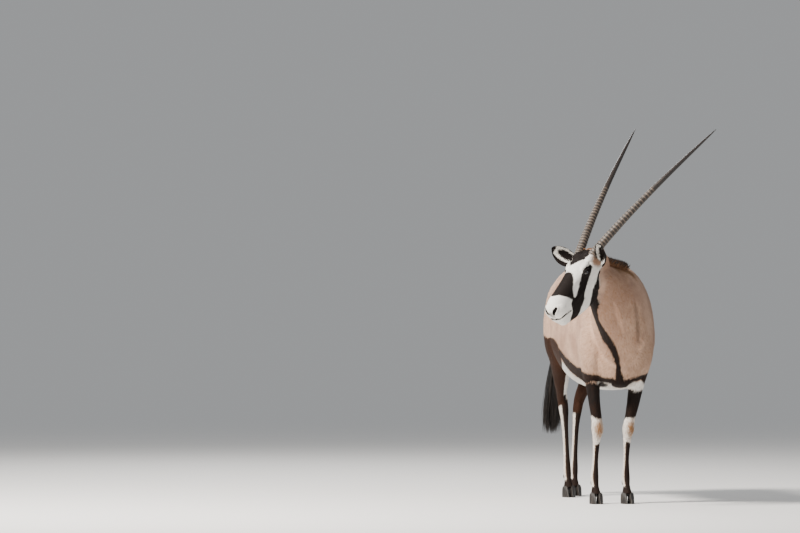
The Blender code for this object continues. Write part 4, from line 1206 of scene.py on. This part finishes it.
def makeTail():
    bm = bmesh.new()
    wrapGrid(bm, tubeRings(tailShape["dock"], Vector((1, 0, 0)), 6, 20))
    core = meshObject("tailCore", bm)
    rng = np.random.default_rng(tailShape["seed"])
    count = tailShape["strands"]
    dock = np.array([row[:3] for row in tailShape["dock"]])[::-1] + np.array(stand)
    start = tailShape["top"] - 0.34 * rng.uniform(0, 1, count) ** 0.8
    centre = np.stack([np.interp(start, dock[:, 2], dock[:, 0]), np.interp(start, dock[:, 2], dock[:, 1]), start], 1)
    turn = rng.uniform(0, 2 * np.pi, count)
    out = np.stack([np.cos(turn), np.sin(turn), np.zeros(count)], 1)
    full = ramp(-start, -0.90, -0.70)
    roots = centre + out * (0.006 + 0.004 * full)[:, None]
    lock = np.floor(turn * 7) + 50 * np.floor(start * 9)        # hairs of one lock end together
    lockEnd = np.sin(lock * 12.9898) * 0.5 + 0.5
    tips = 0.300 + 0.25 * lockEnd ** 1.5 + rng.uniform(0, 0.12, count) ** 1.2
    tips = np.minimum(tips, start - 0.10)
    reach = start - tips
    spread = rng.uniform(0.01, 0.13, count) * (0.4 + 0.6 * full) * (0.6 + 0.8 * lockEnd)
    ways = unit(np.array((-0.055, 0.012, -1.0)) + out * spread[:, None] + rng.normal(0, 0.012, (count, 3)))
    facing = unit(out - ways * np.sum(out * ways, 1, keepdims=True))
    lift = rng.uniform(0.02, 0.10, count) * (0.4 + 0.6 * full)
    curl = -lift * rng.uniform(0.7, 1.7, count)
    widths = rng.uniform(0.0026, 0.0052, count)
    marks = {"shade": np.clip(lockEnd + rng.normal(0, 0.2, count), 0, 1)}
    hair = spikes("tailHair", roots, facing, ways, reach, widths, lift, curl, marks, None,
                  (0.0, 0.2, 0.4, 0.6, 0.8, 1.0), 0.4, 0.3, (0.6, 1.0, 1.1, 1.0, 0.7))
    return core, hair


tailCore, tailHair = makeTail()
show(tailCore, dockLook, ("tail",))
show(tailHair, tailLook)
print("mane and tail made")


# ---- the short coat, in tufts rooted on the skin
coatShape = {   # tufts, their length, width and lift, and the seed of the draws
    "body": (190000, 0.0165, 0.0033, 0.17, 70), "legs": (46000, 0.0120, 0.0026, 0.16, 71),
    "face": (48000, 0.0078, 0.0019, 0.14, 72), "ears": (6500, 0.0078, 0.0019, 0.14, 77),
}


def scatter(mesh, kind, keep=None):
    # Points spread evenly over the mesh, at most one to a small cube, with its normals and new draws.
    count, seed = coatShape[kind][0], coatShape[kind][4]
    rng = np.random.default_rng(seed)
    mesh.calc_loop_triangles()
    corners = np.zeros(len(mesh.loop_triangles) * 3, np.int32)
    mesh.loop_triangles.foreach_get("vertices", corners)
    corners = corners.reshape(-1, 3)
    co, normal = coordsOf(mesh), normalsOf(mesh)
    if keep is not None:
        corners = corners[keep(co[corners].mean(1))]
    a, b, c = (co[corners[:, i]] for i in range(3))
    area = 0.5 * np.linalg.norm(np.cross(b - a, c - a), axis=1)
    cell = math.sqrt(1.42 * area.sum() / count)
    chosen = rng.choice(len(corners), count * 4, p=area / area.sum())
    u, v = rng.uniform(size=(2, len(chosen)))
    over = u + v > 1
    u[over], v[over] = 1 - u[over], 1 - v[over]
    shares = np.stack((1 - u - v, u, v), 1)[:, :, None]
    point = (co[corners[chosen]] * shares).sum(1)
    facing = unit((normal[corners[chosen]] * shares).sum(1))
    at = np.floor(point / cell).astype(np.int64) + 4096
    first = np.sort(np.unique((at[:, 0] * 8192 + at[:, 1]) * 8192 + at[:, 2], return_index=True)[1])
    return point[first], facing[first], np.random.default_rng(seed)


def lieOf(co, normal, rng):
    # The way the hair lies: back along the body, down the haunches and legs, up the face from the nose.
    onHead = headShare(co)[:, None]
    x, y, z = (co - np.array(stand)).T
    leg = ramp(-z, -0.72, -0.52)[:, None]
    neck = (ramp(-y, 0.42, 0.62) * ramp(z, 0.72, 0.90))[:, None]
    haunch = ramp(y, 0.30, 0.60)[:, None]
    body = np.array((0.0, 1.0, -0.38)) * (1 - haunch) + np.array((0.0, 0.50, -1.0)) * haunch
    body = body * (1 - neck) + np.array((0.30, 0.60, -0.62)) * neck
    way = body * (1 - leg) + np.array((0.0, 0.14, -1.0)) * leg
    side = ((co - np.array(atHead(0, 0, 0))) @ np.array(left))[:, None]
    face = -np.array(forward) - np.array(dorsal) * 0.18 + np.array(left) * side * 3.0
    way = way * (1 - onHead) + face * onHead
    swirl = 0.16 * np.sin(x * 23 + z * 17) + 0.12 * np.sin(y * 31 - z * 29) + rng.normal(0, 0.11, len(co))
    way = unit(way - normal * np.sum(way * normal, 1, keepdims=True))
    return unit(way + np.cross(normal, way) * swirl[:, None])


def unwrapOf(co, middle, axis, tile=(0.0, 1.0)):
    # Round and along the shape's own axis, kept inside the unit square.
    across = np.array((1.0, 0.0, 0.0)) if abs(axis[0]) < 0.7 else np.array((0.0, 0.0, 1.0))
    axis = unit(np.array(axis, float))
    first = unit(np.cross(axis, across))
    second = np.cross(axis, first)
    rel = co - np.array(middle)
    u = (np.arctan2(rel @ second, rel @ first) / (2 * np.pi) + 0.5) * 0.97 + 0.015
    run = co @ axis
    v = (run - run.min()) / max(float(np.ptp(run)), 1e-6) * 0.97 + 0.015
    return np.stack((tile[0] + u * tile[1], v), 1)


def makeCoat(name, kind, co, normal, uv, rng, sizes=None, marks=None):
    long, wide, high = coatShape[kind][1:4]
    count = len(co)
    size = np.ones(count) if sizes is None else sizes
    marks = list(marks if marks is not None else colourDistances(co, normal))
    for i, spread in enumerate((0.0012, 0.0045, 0.0012, 0.13)):
        marks[i] = marks[i] + rng.normal(0, spread, count) * (marks[1] > -0.02 if i == 1 else 1)
    ways = lieOf(co, normal, rng) if name[:3] != "ear" else earLie(name, co, normal, rng)
    lengths = long * size * rng.uniform(0.75, 1.15, count)
    widths = wide * np.sqrt(size) * rng.uniform(0.8, 1.15, count)
    lift = high * rng.uniform(0.45, 1.2, count)
    made = spikes(name, co - normal * 0.0005, normal, ways, lengths, widths, lift, np.zeros(count),
                  dict(zip(markNames, marks)), uv, (0.0, 1.0), 0.5, 0.72, (1.0,))
    return show(made, coatLook)


legTop, soleGap = 0.56, 0.044       # the legs' coat lies between these heights


def bodyCoat():
    co, normal, rng = scatter(skin.data, "body", lambda at: (headShare(at) < 0.5) & (at[:, 2] > legTop))
    order = np.argsort(co[:, 1])
    names = ("coatNeck", "coatShoulders", "coatBarrel", "coatHaunches")
    for name, part in zip(names, np.array_split(order, len(names))):
        axis = (0.3, 0.7, -0.4) if name == "coatNeck" else (0, 1, 0)
        uv = unwrapOf(co[part], co[part].mean(0), axis)
        makeCoat(name, "body", co[part], normal[part], uv, rng)


def legCoat():
    co, normal, rng = scatter(skin.data, "legs", lambda at: (
        (headShare(at) < 0.5) & (at[:, 2] <= legTop) & (at[:, 2] > soleGap)))
    uv = np.zeros((len(co), 2))
    fore, right = whichLeg(co[:, 0], co[:, 1])
    for i, (isFore, isRight) in enumerate(((True, False), (True, True), (False, False), (False, True))):
        part = (fore == isFore) & (right == isRight)
        uv[part] = unwrapOf(co[part], co[part].mean(0), (0, 0, 1), (i * 0.25, 0.25))
    sizes = 0.62 + 0.38 * ramp(co[:, 2], 0.05, 0.45)
    makeCoat("coatLegs", "legs", co, normal, uv, rng, sizes)


def faceCoat():
    co, normal, rng = scatter(skin.data, "face", lambda at: headShare(at) >= 0.5)
    far, side, up, angle = headCoords(co)
    clear = (nostrilDistance(co) > 0.0010) & (mouthDistance(co) > 0.0010)
    sizes = 1 - 0.45 * ramp(far, 0.22, 0.30)
    for sign in (1, -1):
        centre, rel, a, b, c = atEye(sign, co)
        size = np.hypot(a / eyeShape["half"], b / eyeShape["above"])
        near = (c > -0.002) & (np.linalg.norm(rel, axis=1) < 0.05)
        clear &= ~(near & (size < 1.28))
        sizes = np.where(near & (size < 2.2), np.minimum(sizes, 0.62), sizes)
    uv = unwrapOf(co, np.array(atHead(0.13, 0, -0.09)), tuple(forward))
    keep = np.nonzero(clear)[0]
    makeCoat("coatFace", "face", co[keep], normal[keep], uv[keep], rng, sizes[keep])


def earLie(name, co, normal, rng):
    # Along the ear to its tip; inside, out over the hollow from both rims.
    sideName = name[3:].replace("Coat", "")
    root, way, facing, side = arrays(earFrame(sideName))
    far, across, inside = onEar(sideName, co, normal)
    inner = inside[:, None]
    lie = way + np.where(inner, 1, 0) * (facing * 0.5 - side * np.sign(across)[:, None] * 0.45)
    lie = lie + rng.normal(0, 0.12, co.shape)
    return unit(lie - normal * np.sum(lie * normal, 1, keepdims=True) * np.where(inner, 0.75, 1.0))


def earCoat(sideName):
    co, normal, rng = scatter(ears[sideName].data, "ears")
    far, across, inner = onEar(sideName, co, normal)
    sizes = np.where(inner, 0.8 + 1.3 * ramp(np.abs(across), 0.25, 0.5) * ramp(-np.abs(across), -0.85, -0.6), 0.75)
    sizes = np.where(far > 0.85, 0.6, sizes)
    uv = unwrapOf(co, co.mean(0), tuple(earFrame(sideName)[1]))
    marks = earMarks(far, across, inner)
    return makeCoat("ear" + sideName + "Coat", "ears", co, normal, uv, rng, sizes, marks)


def makeLashes(name, sign):
    centre, out, front, top = arrays(eyeAxes(sign))
    rng = np.random.default_rng(90)
    count = 70
    turn = np.pi * (0.08 + 0.84 * (np.arange(count) + rng.uniform(0, 1, count)) / count)
    spot = front * (eyeShape["half"] * np.cos(turn))[:, None] + top * (eyeShape["above"] * np.sin(turn) ** 1.2)[:, None]
    rise = np.sqrt(np.maximum(1e-8, (eyeShape["radius"] + 0.0016) ** 2 - np.sum(spot * spot, 1)))
    roots = centre + spot + out * rise[:, None]
    ways = unit(out * 1.0 + top * 0.15 + front * (0.8 * np.cos(turn))[:, None] + rng.normal(0, 0.08, (count, 3)))
    facing = unit(top - ways * (ways @ top)[:, None])
    return spikes(name, roots, facing, ways, rng.uniform(0.006, 0.011, count), np.full(count, 0.0008),
                  np.zeros(count), np.full(count, 0.3), {"shade": np.zeros(count)}, None, (0.0, 0.5, 1.0), 0.6, 0.0)


bodyCoat()
print("body coat made")
legCoat()
faceCoat()
for sideName, sign in bothSides:
    earCoat(sideName)
    show(makeLashes("lashes" + sideName, sign), lashLook)
print("face, legs and ears coated")


# ---- floor, light and camera
stageShape = {"radius": 14.0, "pale": (0.80, 0.79, 0.775)}


def makeFloor():
    bm = bmesh.new()
    bmesh.ops.create_circle(bm, cap_ends=True, segments=128, radius=stageShape["radius"])
    floor = meshObject("floor", bm)
    if floor.data.polygons[0].normal.z < 0:
        floor.data.flip_normals()
    look, tree, shader, place = newMaterial("paleFloor", 0.9)
    shader.inputs["Base Color"].default_value = (*stageShape["pale"], 1.0)
    away = node(tree, "ShaderNodeVectorMath", [(0, place)], operation="LENGTH").outputs["Value"]
    solid = softStep(tree, away, stageShape["radius"] * 0.98, stageShape["radius"] * 0.15)
    tree.links.new(solid, shader.inputs["Alpha"])
    floor.data.materials.append(look)


makeFloor()


def aimed(obj, place, look):
    obj.location = place
    obj.rotation_mode = "QUATERNION"
    obj.rotation_quaternion = look.to_track_quat("-Z", "Y")
    return obj


def areaLight(name, place, aim, size, power, colour=(1, 1, 1)):
    data = bpy.data.lights.new(name, "AREA")
    data.shape = "DISK"
    data.size = size
    data.energy = power
    data.color = colour
    aimed(linked(name, data), place, Vector(aim) - Vector(place))


areaLight("keyLight", (-5.5, -2.6, 6.2), (0, 0, 0.8), 2.0, 1900, (1.0, 0.950, 0.89))
areaLight("fillLight", (5.0, -5.0, 3.0), (0, 0, 0.8), 4.0, 70, (0.90, 0.94, 1.0))
areaLight("backLight", (-1.5, 6.0, 4.5), (0, 0, 1.0), 3.0, 170)
world = bpy.data.worlds.new("studio")
world.use_nodes = True
world.node_tree.nodes["Background"].inputs[0].default_value = (0.86, 0.88, 0.90, 1.0)
world.node_tree.nodes["Background"].inputs[1].default_value = 0.40
bpy.context.scene.world = world

viewShape = {
    "turn": math.radians(9), "down": math.radians(1.0), "lens": 500, "sensor": 36, "size": (800, 533),
    "perMetre": 200, "anchor": (602, 500),      # pixels to a metre, and where the stand's middle is seen
}


def makeCamera():
    # A long lens from far off, at the photo's scale.
    turn, down = viewShape["turn"], viewShape["down"]
    right = Vector((math.cos(turn), -math.sin(turn), 0))
    look = Vector((math.sin(turn) * math.cos(down), math.cos(turn) * math.cos(down), -math.sin(down)))
    up = right.cross(look)
    width, height = viewShape["size"]
    x, y = viewShape["anchor"]
    scale = viewShape["perMetre"]
    away = width * viewShape["lens"] / (viewShape["sensor"] * scale)
    aim = stand + right * ((width / 2 - x) / scale) + up * ((y - height / 2) / scale)
    data = bpy.data.cameras.new("camera")
    data.lens = viewShape["lens"]
    data.sensor_width = viewShape["sensor"]
    data.clip_end = 500
    bpy.context.scene.camera = aimed(linked("camera", data), aim - look * away, look)


makeCamera()
print("done")
